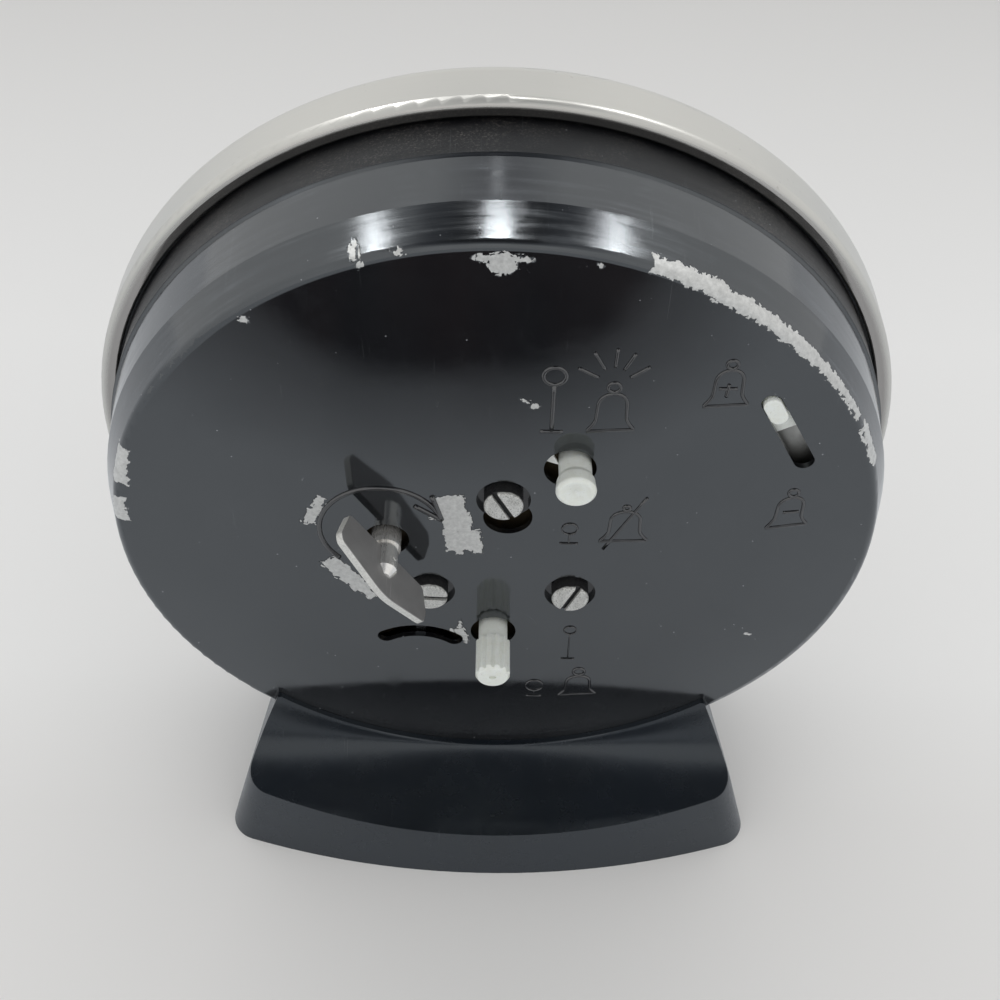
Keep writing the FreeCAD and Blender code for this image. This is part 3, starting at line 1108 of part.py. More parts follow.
def make_motion():
    """The wheels and tubes under the dial, and the hands on it."""
    thick, module = size("motion_thick"), size("motion_module")
    bore = size("minute_arbor")
    low = size("cannon_level")
    cannon = gear(size("cannon_teeth"), module, 0, low, low + size("cannon_long"))
    cannon = cannon.fuse(disc(size("minute_tube"), low, size("minute_end")))
    solid("cannon_pinion", cannon.cut(disc(bore, low, size("minute_end"))))
    towards = heading("set_x", "minute_arbor - minute_arbor", "minute_x", "minute_y")
    minute_turn = meshing_turn(size("cannon_teeth"), 0, size("minute_teeth"), towards)
    stud = size("minute_stud")
    low = size("minute_level")
    minute = gear(size("minute_teeth"), module, minute_turn, low, low + thick)
    pinion_low = size("minute_pinion_level")
    pinion_high = pinion_low + size("minute_pinion_long")
    minute = minute.fuse(gear(size("minute_pinion_teeth"), size("hour_module"), towards + 180,
                              pinion_low, pinion_high))
    minute = minute.cut(disc(stud + size("running"), low, pinion_high))
    solid("minute_wheel", minute, "minute_x", "minute_y")
    in_drum(turned("minute_stud", [
        ("0", "plate_front"), ("minute_stud", "plate_front"),
        ("minute_stud", "alarm_level - pivot_play"), ("0", "alarm_level - pivot_play")]),
        "minute_x", "minute_y")
    low = size("hour_level")
    hour_turn = meshing_turn(size("minute_pinion_teeth"), towards + 180, size("hour_teeth"), towards + 180)
    hour = gear(size("hour_teeth"), size("hour_module"), hour_turn, low, low + size("wheel_thick"))
    hour = hour.fuse(disc(size("hour_tube"), low, size("hour_end")))
    solid("hour_wheel", hour.cut(disc(size("hour_tube_in"), low, size("hour_end"))))

    to_set = heading("minute_x", "minute_y", "set_x", "set_y")
    set_turn = meshing_turn(size("minute_teeth"), minute_turn, size("set_teeth"), to_set)
    low = size("alarm_level")
    alarm_turn = meshing_turn(size("set_teeth"), set_turn, size("alarm_teeth"), 90)
    alarm = gear(size("alarm_teeth"), module, alarm_turn, low, low + thick)
    alarm = alarm.fuse(disc(size("alarm_tube"), low, size("alarm_end")))
    solid("alarm_wheel", alarm.cut(disc(size("alarm_tube_in"), low, size("alarm_end"))))
    low = size("set_level")
    stem = stepped([
        (size("stem_radius"), -size("set_stem_end"), size("clip_level")),
        (size("clip_groove"), size("clip_level"), size("clip_level") + size("wheel_thick")),
        (size("stem_radius"), size("clip_level") + size("wheel_thick"), low)])
    stem = stem.fuse(gear(size("set_teeth"), module, set_turn, low, low + size("set_pinion_long")))
    solid("set_stem", stem, "set_x", "set_y")
    in_drum(turned("detent_clip", [
        ("clip_groove + running", "clip_level"), ("clip_radius", "clip_level"),
        ("clip_radius", "clip_level + wheel_thick - running"),
        ("clip_groove + running", "clip_level + wheel_thick - running")]), "set_x", "set_y")

    low, high = size("minute_hand_level"), size("minute_end")
    solid("minute_hand", hand(size("minute_length"), size("minute_hub"), size("minute_tube"),
                              size("minute_half"), low, high), turn=-size("minute_angle"))
    low, high = size("hour_hand_level"), size("hour_end")
    solid("hour_hand", hand(size("hour_length"), size("hour_hub"), size("hour_tube"),
                            size("hour_half"), low, high), turn=-size("hour_angle"))
    low, high = size("alarm_hand_level"), size("alarm_end")
    solid("alarm_hand", hand(size("alarm_length"), size("alarm_hub"), size("alarm_tube"),
                             size("alarm_half"), low, high), turn=-size("alarm_angle"))
    low = size("minute_end")
    in_drum(turned("hand_nut", [
        ("minute_arbor", "minute_end"), ("hand_nut_radius", "minute_end"),
        ("hand_nut_radius", "minute_end + hand_nut_thick/2"),
        ("hand_nut_radius/2 + minute_arbor/2", "minute_end + hand_nut_thick"),
        ("minute_arbor", "minute_end + hand_nut_thick")]))


def make_knobs():
    """The fluted setting knob, the alarm knob and its stem."""
    knob = turned("set_knob", [
        ("stem_radius", "set_inner"), ("set_neck", "set_inner"), ("set_neck", "-set_neck_reach"),
        ("set_head", "-set_neck_reach"), ("set_head", "-set_taper"), ("set_tip", "-set_reach"),
        ("set_dimple", "-set_reach"), ("set_dimple", "-set_reach + set_dimple_deep"),
        ("0", "-set_reach + set_dimple_deep"), ("0", "-set_stem_end"), ("stem_radius", "-set_stem_end")])
    flute = pocket(knob, "-set_neck_reach + running", "set_reach",
                   circles=[("set_head + flute_radius/2", "0", "flute_radius")])
    repeat_round(knob, flute, "set_flutes")
    in_drum(knob, "set_x", "set_y")
    knob = turned("alarm_knob", [
        ("stem_radius", "alarm_neck_reach"), ("alarm_neck", "alarm_neck_reach"),
        ("alarm_neck", "-alarm_neck_reach + alarm_flare"), ("alarm_waist", "-alarm_neck_reach"),
        ("alarm_head", "-alarm_reach + alarm_rim"), ("alarm_rim_radius", "-alarm_reach"),
        ("alarm_dimple", "-alarm_reach + alarm_dish"),
        ("0", "-alarm_reach + alarm_dish + alarm_dimple_deep"),
        ("0", "-alarm_stem_reach"), ("stem_radius", "-alarm_stem_reach")])
    for radius, level in (("alarm_neck", "-alarm_neck_reach + alarm_flare"),
                          ("alarm_waist", "-alarm_neck_reach"),
                          ("alarm_head", "-alarm_reach + alarm_rim"),
                          ("alarm_rim_radius", "-alarm_reach")):
        round_edges(knob, "alarm_round", circle_at(radius, level))
    in_drum(knob, "alarm_x", "alarm_y")
    in_drum(turned("alarm_stem", [
        ("0", "-alarm_stem_reach"), ("stem_radius", "-alarm_stem_reach"),
        ("stem_radius", "alarm_flange_level"), ("alarm_flange", "alarm_flange_level"),
        ("alarm_flange", "alarm_flange_level + wheel_thick"),
        ("stem_radius", "alarm_flange_level + wheel_thick"), ("stem_radius", "alarm_stem_end"),
        ("0", "alarm_stem_end")]), "alarm_x", "alarm_y")


def make_bell():
    """Bell, its post and screw, the hammer, and the loudness slider in its tray."""
    in_drum(turned("bell", [
        ("bell_screw", "bell_crown"), ("bell_radius - 4*bell_wall", "bell_crown"),
        ("bell_radius - bell_wall", "bell_crown + 3*bell_wall"), ("bell_radius", "bell_mouth"),
        ("bell_radius - bell_wall", "bell_mouth"),
        ("bell_radius - 2*bell_wall", "bell_crown + 3*bell_wall + bell_wall/2"),
        ("bell_radius - 4*bell_wall - bell_wall/2", "bell_crown + bell_wall"),
        ("bell_screw", "bell_crown + bell_wall")]), "bell_x", "bell_y")
    in_drum(turned("bell_post", [
        ("0", "case_wall"), ("bell_post_radius", "case_wall"), ("bell_post_radius", "bell_crown"),
        ("bell_screw", "bell_crown"), ("bell_screw", "bell_crown + bell_wall"),
        ("bell_post_radius", "bell_crown + bell_wall"), ("bell_post_radius", "bell_crown + 3*bell_wall"),
        ("0", "bell_crown + 3*bell_wall")]), "bell_x", "bell_y")
    low = size("hammer_level")
    high = low + size("wheel_thick")
    half, reach = size("hammer_half"), size("hammer_reach")
    made = arbor_shaft(size("hammer_arbor"))
    made = made.fuse(Part.makeBox(reach, 2 * half, high - low, Vector(-reach, -half, low)))
    made = made.fuse(disc(2 * half, low, high))
    head_low = size("hammer_head_level")
    head_high = head_low + size("hammer_head_long")
    made = made.fuse(disc(size("hammer_head"), head_low, head_high, 0.0, -reach, 0.0))
    bell_low = size("bell_escape_level")
    away = heading("hammer_x", "hammer_y", "bell_arbor_x", "bell_arbor_y")
    gap = math.hypot(size("bell_arbor_x") - size("hammer_x"), size("bell_arbor_y") - size("hammer_y"))
    long = gap - size("bell_escape_radius") - 6 * size("running")
    half = size("pallet_half")
    pallet = Part.makeBox(long, 2 * half, size("wheel_thick"), Vector(0, -half, bell_low))
    pallet.rotate(Vector(0, 0, 0), Vector(0, 0, 1), away)
    solid("hammer", made.fuse(pallet).removeSplitter(), "hammer_x", "hammer_y")

    turn = size("volume_turn") + 180
    low, high = size("volume_level"), size("volume_level") + size("great_thick")
    half, width = size("volume_plate_half"), size("volume_plate")
    shift = -size("volume_rest")
    slider = Part.makeBox(2 * half, 2 * width, high - low, Vector(shift - half, -width, low))
    peg = slot_outline(
        shift, 0, size("volume_peg_half") - size("volume_peg"), size("volume_peg"), 0,
        -size("volume_proud"), low)
    top = [edge for edge in peg.Edges if abs(edge.BoundBox.ZMax + size("volume_proud")) < size("running")]
    peg = peg.makeFillet(4 * size("running"), top)
    solid("volume_slider", slider.fuse(peg), "volume_x", "volume_y", turn=turn)
    floor = size("volume_floor")
    half, rail = size("volume_tray_half"), size("volume_rail")
    inner = width + 2 * size("running")
    tray = Part.makeBox(
        2 * half, 2 * (inner + rail), floor + rail - size("case_wall"),
        Vector(-half, -inner - rail, size("case_wall")))
    tray = tray.cut(Part.makeBox(2 * half, 2 * inner, floor - size("case_wall"),
                                 Vector(-half, -inner, size("case_wall"))))
    solid("volume_bracket", tray, "volume_x", "volume_y", turn=turn)


def export_parts():
    """Stops at the first object that failed, then writes one STEP file for each named piece."""
    for item in doc.Objects:
        if {"Invalid", "Error"} & set(item.State):
            raise ValueError("failed: " + item.Label)
    for item in PARTS:
        if item.Shape.isNull() or not item.Shape.isValid():
            raise ValueError("bad shape: " + item.Label)
        item.Shape.exportStep("parts/%s.step" % item.Label)
        print(item.Label, round(item.Shape.Volume, 1), len(item.Shape.Solids))


make_case()
make_front()
make_foot()
make_plates()
make_winding()
make_train()
make_escapement()
make_motion()
make_knobs()
make_bell()
doc.recompute()
export_parts()
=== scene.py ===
"""Looks of the wind-up alarm clock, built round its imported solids.

Lengths in this file are millimetres unless a name says otherwise; MM turns them into metres.
Places on the back are given as x and z from the drum's axis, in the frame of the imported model,
and depths are counted from the outer face of the back towards the dial.
"""
import bpy
import math
from mathutils import Matrix, Vector


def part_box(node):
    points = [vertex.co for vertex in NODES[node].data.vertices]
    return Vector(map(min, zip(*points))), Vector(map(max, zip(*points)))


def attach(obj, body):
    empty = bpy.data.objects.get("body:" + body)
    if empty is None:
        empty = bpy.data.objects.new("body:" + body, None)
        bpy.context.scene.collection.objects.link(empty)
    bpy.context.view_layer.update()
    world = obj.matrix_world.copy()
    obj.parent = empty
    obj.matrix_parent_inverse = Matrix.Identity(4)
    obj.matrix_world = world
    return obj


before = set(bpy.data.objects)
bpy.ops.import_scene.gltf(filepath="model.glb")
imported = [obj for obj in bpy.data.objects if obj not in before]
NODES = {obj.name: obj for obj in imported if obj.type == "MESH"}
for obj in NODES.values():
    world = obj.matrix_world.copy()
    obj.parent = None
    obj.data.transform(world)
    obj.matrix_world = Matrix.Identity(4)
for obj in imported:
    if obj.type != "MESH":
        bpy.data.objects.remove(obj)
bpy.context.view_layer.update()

MM = 0.001
FACE_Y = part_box("case_shell")[1].y
BEZEL_LOW, BEZEL_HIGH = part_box("bezel")
AXIS_Z = (BEZEL_LOW.z + BEZEL_HIGH.z) / 2
DIAL_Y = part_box("dial")[0].y
BEZEL_SIDE = (BEZEL_HIGH.x - BEZEL_LOW.x) / 2 / MM

# Rim of the back, depth at which the wall's textured band begins, and the key's turn in degrees
RIM_RADIUS = 48.0
BAND_DEPTH = 12.6
KEY_TURN = -121.26

# Camera, fitted to the photograph
CAMERA_TURN = 0.018
CAMERA_TILT = 0.833
CAMERA_ROLL = 0.030
CAMERA_TARGET = Vector((-0.412 * MM, FACE_Y, 67.863 * MM))
CAMERA_DISTANCE = 173.34 * MM
FOCAL_PIXELS = 1401.68
IMAGE_PIXELS = 1000
SENSOR_WIDTH = 36
CLIP_START = 5 * MM

# Colours
LACQUER = (0.0045, 0.0048, 0.006)
DUST = (0.30, 0.31, 0.32)
GRIT = (0.30, 0.27, 0.24)
# pale bluish streaks on the wall: partly a hazy film, partly painted sheen
FILM_AND_PAINTED_SHEEN = (0.34, 0.37, 0.41)
BARE_ZINC = (0.47, 0.47, 0.455)
BRIGHT_ZINC = (0.64, 0.64, 0.62)
FOOT_BLACK = (0.007, 0.009, 0.012)
MILKY = (0.80, 0.83, 0.79)
DIAL_WHITE = (0.80, 0.78, 0.70)
PRINT_BLACK = (0.012, 0.012, 0.014)
LUME = (0.62, 0.72, 0.46)
LACQUER_IOR = 1.9
# Depths between which the painted shade on the side of a screw head begins
HEAD_PAINTED_SHADE = (-0.98, -0.86)

# Chips through the lacquer: x, z, half width, half height, turn in degrees. SLABS are flat-sided,
# CHIPS are oval.
SLABS = [
    # beside the key, left
    (23.1, 5.4, 0.75, 1.3, -20), (22.15, 7.5, 0.6, 1.3, -24),
    # beside the arrow's head, the largest
    (5.75, 7.5, 1.9, 1.9, 4), (4.9, 4.3, 1.75, 1.9, 8), (4.1, 1.1, 2.3, 2.0, 5),
    (2.3, -0.7, 0.7, 0.8, 0), (4.6, -1.0, 0.6, 0.8, 0),
    # under the key
    (20.7, -4.6, 1.35, 1.8, 35), (18.8, -7.1, 1.2, 2.3, 33), (16.9, -9.8, 0.7, 1.6, 33),
    # star beside the curved slot
    (4.5, -18.5, 0.8, 1.0, 20),
    # at the top of the rim
    (0.1, 46.2, 2.0, 0.45, 0),
]
CHIPS = [
    (8.1, 5.4, 0.35, 0.25, 0), (24.0, 4.3, 0.5, 0.5, 0),
    (4.6, -16.9, 0.4, 0.95, 0), (3.9, -19.8, 0.5, 0.85, 15), (5.7, -18.35, 0.7, 0.35, 0),
    (-4.05, 25.05, 0.5, 0.36, 0), (-3.25, 25.6, 0.5, 0.16, -30),
    (0.1, 45.6, 1.5, 1.5, 0), (2.1, 46.2, 0.9, 0.5, 0), (-2.2, 46.1, 0.9, 0.4, 0),
    (28.0, 37.2, 0.5, 0.45, 0), (-10.2, 45.6, 0.3, 0.3, 0), (-35.1, -17.7, 0.42, 0.3, 0),
    (15.7, 45.7, 0.5, 0.5, 0), (15.1, 45.0, 0.35, 0.35, 0), (11.2, 46.5, 0.6, 0.3, 0),
]
# Wear along the rim: first and last angle, inner radius at each end, and how far down the wall
RIM_WEAR = [
    (109.0, 121.0, 47.35, 47.1, 1.5),
    (119.0, 136.0, 47.0, 47.3, 1.25),
    (134.0, 151.0, 47.35, 47.85, 1.2),
    (152.5, 161.0, 47.75, 47.75, 1.7),
    (13.0, 20.5, 46.5, 46.9, 0.9),
    (5.0, 10.0, 46.3, 46.6, 0.7),
]
# Stretch of a texture's place that takes the depth out of it, and millimetres of rim to a degree
FLATTEN = 1000.0
ARC_PER_DEGREE = 0.84


class Tree:
    """Lays out one material's nodes. Each helper gives back an output socket."""

    def __init__(self, name):
        self.mat = bpy.data.materials.new(name)
        self.mat.use_nodes = True
        self.nodes = self.mat.node_tree.nodes
        self.links = self.mat.node_tree.links
        self.shader = self.nodes["Principled BSDF"]
        self.object_place = self.add("ShaderNodeTexCoord").outputs["Object"]

    def put(self, socket, value):
        if isinstance(value, bpy.types.NodeSocket):
            self.links.new(value, socket)
        elif socket.type == "RGBA" and len(value) == 3:
            socket.default_value = (*value, 1)
        else:
            socket.default_value = value

    def add(self, kind, inputs=None, **settings):
        node = self.nodes.new(kind)
        for key, value in settings.items():
            setattr(node, key, value)
        for key, value in (inputs or {}).items():
            self.put(node.inputs[key], value)
        return node

    def set(self, **inputs):
        for key, value in inputs.items():
            self.put(self.shader.inputs[key.replace("_", " ")], value)

    def maths(self, how, *values, clamp=False):
        node = self.add("ShaderNodeMath", operation=how, use_clamp=clamp)
        for number, value in enumerate(values):
            self.put(node.inputs[number], value)
        return node.outputs[0]

    def vector(self, how, *values, out=0):
        node = self.add("ShaderNodeVectorMath", operation=how)
        for number, value in enumerate(values):
            self.put(node.inputs[number], value)
        return node.outputs[out]

    def drum(self):
        """Place in millimetres from the middle of the back: x, minus the depth, z above the axis."""
        centre = (0, -FACE_Y / MM, -AXIS_Z / MM)
        scale = (1 / MM, 1 / MM, 1 / MM)
        return self.mapped(self.object_place, scale, location=centre)

    def mapped(self, place, scale, location=(0, 0, 0), turn=(0, 0, 0), kind="POINT"):
        inputs = {"Vector": place, "Location": location, "Rotation": turn, "Scale": scale}
        return self.add("ShaderNodeMapping", inputs, vector_type=kind).outputs[0]

    def noise(self, place, scale, detail=3.0, rough=0.5, twist=0.0):
        inputs = {"Vector": place, "Scale": scale, "Detail": detail, "Roughness": rough,
                  "Distortion": twist}
        return self.add("ShaderNodeTexNoise", inputs).outputs["Fac"]

    def cells(self, place, scale, out="Distance"):
        return self.add("ShaderNodeTexVoronoi", {"Vector": place, "Scale": scale}).outputs[out]

    def span(self, value, low, high, to_low=0.0, to_high=1.0):
        """Value from low to high becomes to_low to to_high, and stops there."""
        inputs = {"Value": value, "From Min": low, "From Max": high, "To Min": to_low,
                  "To Max": to_high}
        return self.add("ShaderNodeMapRange", inputs).outputs[0]

    def blend(self, share, first, second):
        node = self.add("ShaderNodeMix", data_type="RGBA")
        self.put(node.inputs[0], share)
        self.put(node.inputs[6], first)
        self.put(node.inputs[7], second)
        return node.outputs[2]

    def parts(self, place):
        """x, minus the depth, z, and how far the place is from the axis."""
        split = self.add("ShaderNodeSeparateXYZ", {"Vector": place})
        x, minus_depth, z = split.outputs
        squares = self.maths("ADD", self.maths("MULTIPLY", x, x), self.maths("MULTIPLY", z, z))
        return x, minus_depth, z, self.maths("SQRT", squares)

    def joined(self, x, y, z):
        return self.add("ShaderNodeCombineXYZ", {"X": x, "Y": y, "Z": z}).outputs[0]

    def specks(self, place, scale, big, small, patch, low, high):
        """Round specks from cells, only where slow noise passes low to high."""
        dots = self.span(self.cells(place, scale), big, small)
        return self.maths("MULTIPLY", dots, self.span(self.noise(place, patch), low, high))

    def bump(self, height, strength, distance, below=None):
        inputs = {"Height": height, "Strength": strength, "Distance": distance * MM}
        if below is not None:
            inputs["Normal"] = below
        return self.add("ShaderNodeBump", inputs).outputs[0]

    def edges(self, reach, low=0.02, high=0.25):
        """Near 1 on edges that are sharper than reach, 0 on flat faces."""
        rounded = self.add("ShaderNodeBevel", {"Radius": reach * MM}, samples=4).outputs[0]
        true = self.add("ShaderNodeNewGeometry").outputs["Normal"]
        along = self.vector("DOT_PRODUCT", rounded, true, out="Value")
        return self.span(self.maths("SUBTRACT", 1.0, along), low, high)

    def hairlines(self, place, turn, fineness, share):
        """Thin straight scratches: 1 on a scratch."""
        long = self.mapped(place, (fineness, fineness * 0.02, fineness * 0.02), turn=turn)
        lines = self.noise(long, 1.0, 2.0, 0.6)
        patches = self.noise(place, 0.09, 2.0, 0.5)
        lines = self.span(lines, share, share + 0.03)
        return self.maths("MULTIPLY", lines, self.span(patches, 0.45, 0.62))


def lacquer_black():
    """Glossy black lacquer: dust, dull smudges, hairlines, chips down to the zinc, painted
    reflection and sheen.
    """
    t = Tree("lacquer_black")
    place = t.drum()
    x, minus_depth, z, radius = t.parts(place)
    depth = t.maths("MULTIPLY", minus_depth, -1.0)
    angle = t.maths("DEGREES", t.maths("ARCTAN2", z, x))

    # ragged outlines: slow swings, and small flat-sided teeth from cells
    swing = t.maths("SUBTRACT", t.noise(place, 0.55, 3.0, 0.6, 0.3), 0.5)
    teeth = t.maths("SUBTRACT", t.cells(t.mapped(place, (1.0, 0.01, 1.0)), 1.9, "Color"), 0.5)
    crumbs = t.maths("SUBTRACT", t.noise(place, 3.2, 2.0, 0.6), 0.5)
    ragged = t.maths("ADD", t.maths("MULTIPLY", teeth, 0.75), t.maths("MULTIPLY", crumbs, 0.45))
    ragged = t.maths("ADD", t.maths("MULTIPLY", swing, 0.7), ragged)

    def chip(cx, cz, half_x, half_z, turn):
        unit = t.mapped(place, (half_x, FLATTEN, half_z), (cx, 0, cz), (0, math.radians(turn), 0),
                        "TEXTURE")
        inside = t.maths("SUBTRACT", 1.0, t.vector("LENGTH", unit, out="Value"))
        return t.maths("MULTIPLY", inside, min(half_x, half_z))

    def slab(cx, cz, half_x, half_z, turn):
        away = t.mapped(place, (1.0, FLATTEN, 1.0), (cx, 0, cz), (0, math.radians(turn), 0),
                        "TEXTURE")
        away = t.add("ShaderNodeSeparateXYZ", {"Vector": t.vector("ABSOLUTE", away)})
        return t.maths("MINIMUM", t.maths("SUBTRACT", half_x, away.outputs[0]),
                       t.maths("SUBTRACT", half_z, away.outputs[2]))

    def rim(first, last, inner_first, inner_last, deep):
        inner = t.span(angle, first, last, inner_first, inner_last)
        middle, half = (first + last) / 2, (last - first) / 2
        along = t.maths("SUBTRACT", half, t.maths("ABSOLUTE", t.maths("SUBTRACT", angle, middle)))
        inward = t.maths("MINIMUM", t.maths("SUBTRACT", radius, inner),
                         t.maths("SUBTRACT", deep, depth))
        return t.maths("MINIMUM", inward, t.maths("MULTIPLY", along, ARC_PER_DEGREE))

    bare = -1.0
    for one in SLABS:
        bare = t.maths("MAXIMUM", slab(*one), bare)
    for one in CHIPS:
        bare = t.maths("MAXIMUM", chip(*one), bare)
    bare = t.maths("ADD", bare, t.maths("MULTIPLY", ragged, 0.85))
    worn = -1.0
    for one in RIM_WEAR:
        worn = t.maths("MAXIMUM", rim(*one), worn)
    worn = t.maths("ADD", worn, t.maths("MULTIPLY", t.maths("ADD", swing, ragged), 0.8))
    bare = t.maths("MAXIMUM", bare, worn)
    near = t.span(depth, 3.0, 2.0)
    bare_share = t.maths("MULTIPLY", t.span(bare, -0.02, 0.03), near)
    lip = t.maths("MULTIPLY", t.span(bare, -0.10, 0.02), near)

    # dust: pale specks, and a thin haze that is thicker in patches; paler still towards the rim and
    # the bottom, which is painted reflection
    specks = t.span(t.cells(place, 0.75), 0.085, 0.055)
    chosen = t.span(t.noise(place, 0.35, 3.0, 0.6), 0.56, 0.60)
    specks = t.maths("MULTIPLY", specks, chosen)
    fine = t.specks(place, 2.4, 0.16, 0.08, 0.8, 0.5, 0.66)
    haze_and_painted_reflection = t.span(t.noise(place, 0.05, 4.0, 0.6), 0.35, 0.75, 0.0, 0.022)
    # painted reflection: the face turns paler towards the rim and the bottom, where the glossy
    # lacquer shows the pale floor brighter
    rim_painted_reflection = t.maths("MULTIPLY", t.span(radius, 32.0, 47.0, 0.0, 0.035),
                        t.span(z, 10.0, -30.0))
    haze_and_painted_reflection = t.maths("ADD", haze_and_painted_reflection, rim_painted_reflection)
    # the dust share carries both the real dust and the painted reflection near the rim
    dust = t.maths("MAXIMUM", t.maths("MULTIPLY", specks, 0.75), t.maths("MULTIPLY", fine, 0.14))
    dust = t.maths("MAXIMUM", dust, haze_and_painted_reflection)

    scratch = t.maths("MAXIMUM", t.hairlines(place, (0, 0.5, 0), 5.0, 0.68),
                      t.hairlines(place, (0, -0.9, 0), 4.0, 0.69))
    smudge = t.span(t.noise(place, 0.13, 3.0, 0.55, 0.8), 0.52, 0.66)
    wall = t.span(radius, RIM_RADIUS - 0.8, RIM_RADIUS)
    band = t.span(depth, BAND_DEPTH - 0.1, BAND_DEPTH + 0.1)

    colour = t.blend(dust, LACQUER, DUST)
    colour = t.blend(t.maths("MULTIPLY", scratch, 0.10), colour, DUST)
    grit = t.maths("MULTIPLY", t.span(t.noise(place, 3.5, 3.0, 0.7), 0.52, 0.72),
                   t.span(t.noise(place, 0.10, 3.0, 0.6), 0.40, 0.62))
    grit = t.maths("MULTIPLY", band, t.maths("MULTIPLY", grit, 0.30))
    colour = t.blend(grit, colour, GRIT)
    metal_grain = t.noise(place, 1.6, 4.0, 0.7)
    zinc = t.blend(t.span(metal_grain, 0.35, 0.65), BARE_ZINC, BRIGHT_ZINC)

    rough = t.span(t.noise(place, 0.3, 4.0, 0.6), 0.3, 0.7, 0.055, 0.085)
    rough = t.maths("ADD", rough, t.maths("MULTIPLY", smudge, 0.05))
    turned = t.joined(t.maths("MULTIPLY", radius, 2.2), t.maths("MULTIPLY", depth, 1.1),
                      t.maths("MULTIPLY", angle, 0.055))
    streaks = t.noise(turned, 1.0, 5.0, 0.62, 0.5)
    broad = t.noise(t.mapped(place, (0.09, 0.09, 0.09)), 1.0, 3.0, 0.6, 0.7)
    on_wall = t.maths("MULTIPLY", wall, t.span(streaks, 0.35, 0.7, 0.02, 0.11))
    rough = t.maths("ADD", rough, on_wall)
    # pale streaks along the wall: partly a hazy film, partly painted sheen
    film_and_painted_sheen = t.maths("MULTIPLY", t.span(streaks, 0.46, 0.66), t.span(broad, 0.40, 0.62))
    film_and_painted_sheen = t.maths("MULTIPLY", film_and_painted_sheen, t.maths("MULTIPLY", wall, t.maths("SUBTRACT", 1.0, band)))
    colour = t.blend(t.maths("MULTIPLY", film_and_painted_sheen, 0.10), colour, FILM_AND_PAINTED_SHEEN)
    colour = t.blend(bare_share, colour, zinc)
    rough = t.maths("ADD", rough, t.maths("MULTIPLY", band, 0.22))
    rough = t.maths("MAXIMUM", rough, t.maths("MULTIPLY", bare_share, 0.5))

    swell = t.bump(t.noise(place, 0.45, 2.0), 0.12, 0.02)
    grain = t.bump(t.noise(place, 9.0, 2.0, 0.6), t.span(band, 0.0, 1.0, 0.05, 0.9), 0.02,
                   swell)
    step = t.bump(t.maths("MULTIPLY", lip, -1.0), 0.9, 0.07, grain)
    pits = t.bump(metal_grain, t.maths("MULTIPLY", bare_share, 0.5), 0.05, step)
    t.set(Base_Color=colour, Roughness=rough, IOR=LACQUER_IOR, Normal=pits,
          Specular_Tint=(0.90, 0.96, 1.0), Specular_IOR_Level=t.span(band, 0.0, 1.0, 0.5, 0.13),
          Metallic=t.maths("MULTIPLY", bare_share, 0.35))
    return t.mat


def sign_black():
    """The same lacquer on the raised lines of the signs, a little rubbed."""
    t = Tree("sign_black")
    place = t.drum()
    rub = t.span(t.noise(place, 1.4, 4.0, 0.65), 0.45, 0.7)
    t.set(Base_Color=t.blend(t.maths("MULTIPLY", rub, 0.05), LACQUER, DUST), IOR=LACQUER_IOR,
          Roughness=t.span(rub, 0.0, 1.0, 0.10, 0.22),
          Normal=t.bump(t.noise(place, 5.0), 0.3, 0.02))
    return t.mat


def post_black():
    """Black lacquer of the posts under the screw heads, with dust in it."""
    t = Tree("post_black")
    place = t.drum()
    specks = t.specks(place, 1.6, 0.10, 0.05, 0.6, 0.5, 0.6)
    t.set(Base_Color=t.blend(t.maths("MULTIPLY", specks, 0.4), LACQUER, DUST), IOR=1.6,
          Roughness=t.span(t.noise(place, 0.8, 3.0), 0.3, 0.7, 0.10, 0.18),
          Normal=t.bump(specks, 0.2, 0.02))
    return t.mat


def metal(name, colour, rough, tint, brush=0.0, worn=0.0, turn=(0, 0.6, 0), metallic=1.0):
    """Metal with cloudy colour, lines of its making, scratches, and bright worn edges."""
    t = Tree(name)
    place = t.drum()
    cloud = t.span(t.noise(place, 0.35, 4.0, 0.6, 0.5), 0.3, 0.7)
    shade = t.blend(cloud, colour, tint)
    lines = t.noise(t.mapped(place, (9.0, 9.0, 0.25), turn=turn), 1.0, 3.0, 0.6)
    scratch = t.maths("MAXIMUM", t.hairlines(place, (0, 1.1, 0), 6.0, 0.66),
                      t.hairlines(place, (0, -0.4, 0.3), 7.0, 0.67))
    base = t.span(cloud, 0.0, 1.0, rough * 0.85, rough * 1.25)
    base = t.maths("ADD", base, t.maths("MULTIPLY", lines, brush * 0.15))
    base = t.maths("ADD", base, t.maths("MULTIPLY", scratch, 0.12))
    if worn > 0:
        edge = t.maths("MULTIPLY", t.edges(0.18), worn)
        shade = t.blend(edge, shade, (0.86, 0.86, 0.84))
    normal = t.bump(lines, brush, 0.02)
    normal = t.bump(scratch, 0.25, 0.01, normal)
    t.set(Base_Color=shade, Roughness=base, Metallic=metallic, Normal=normal)
    return t.mat


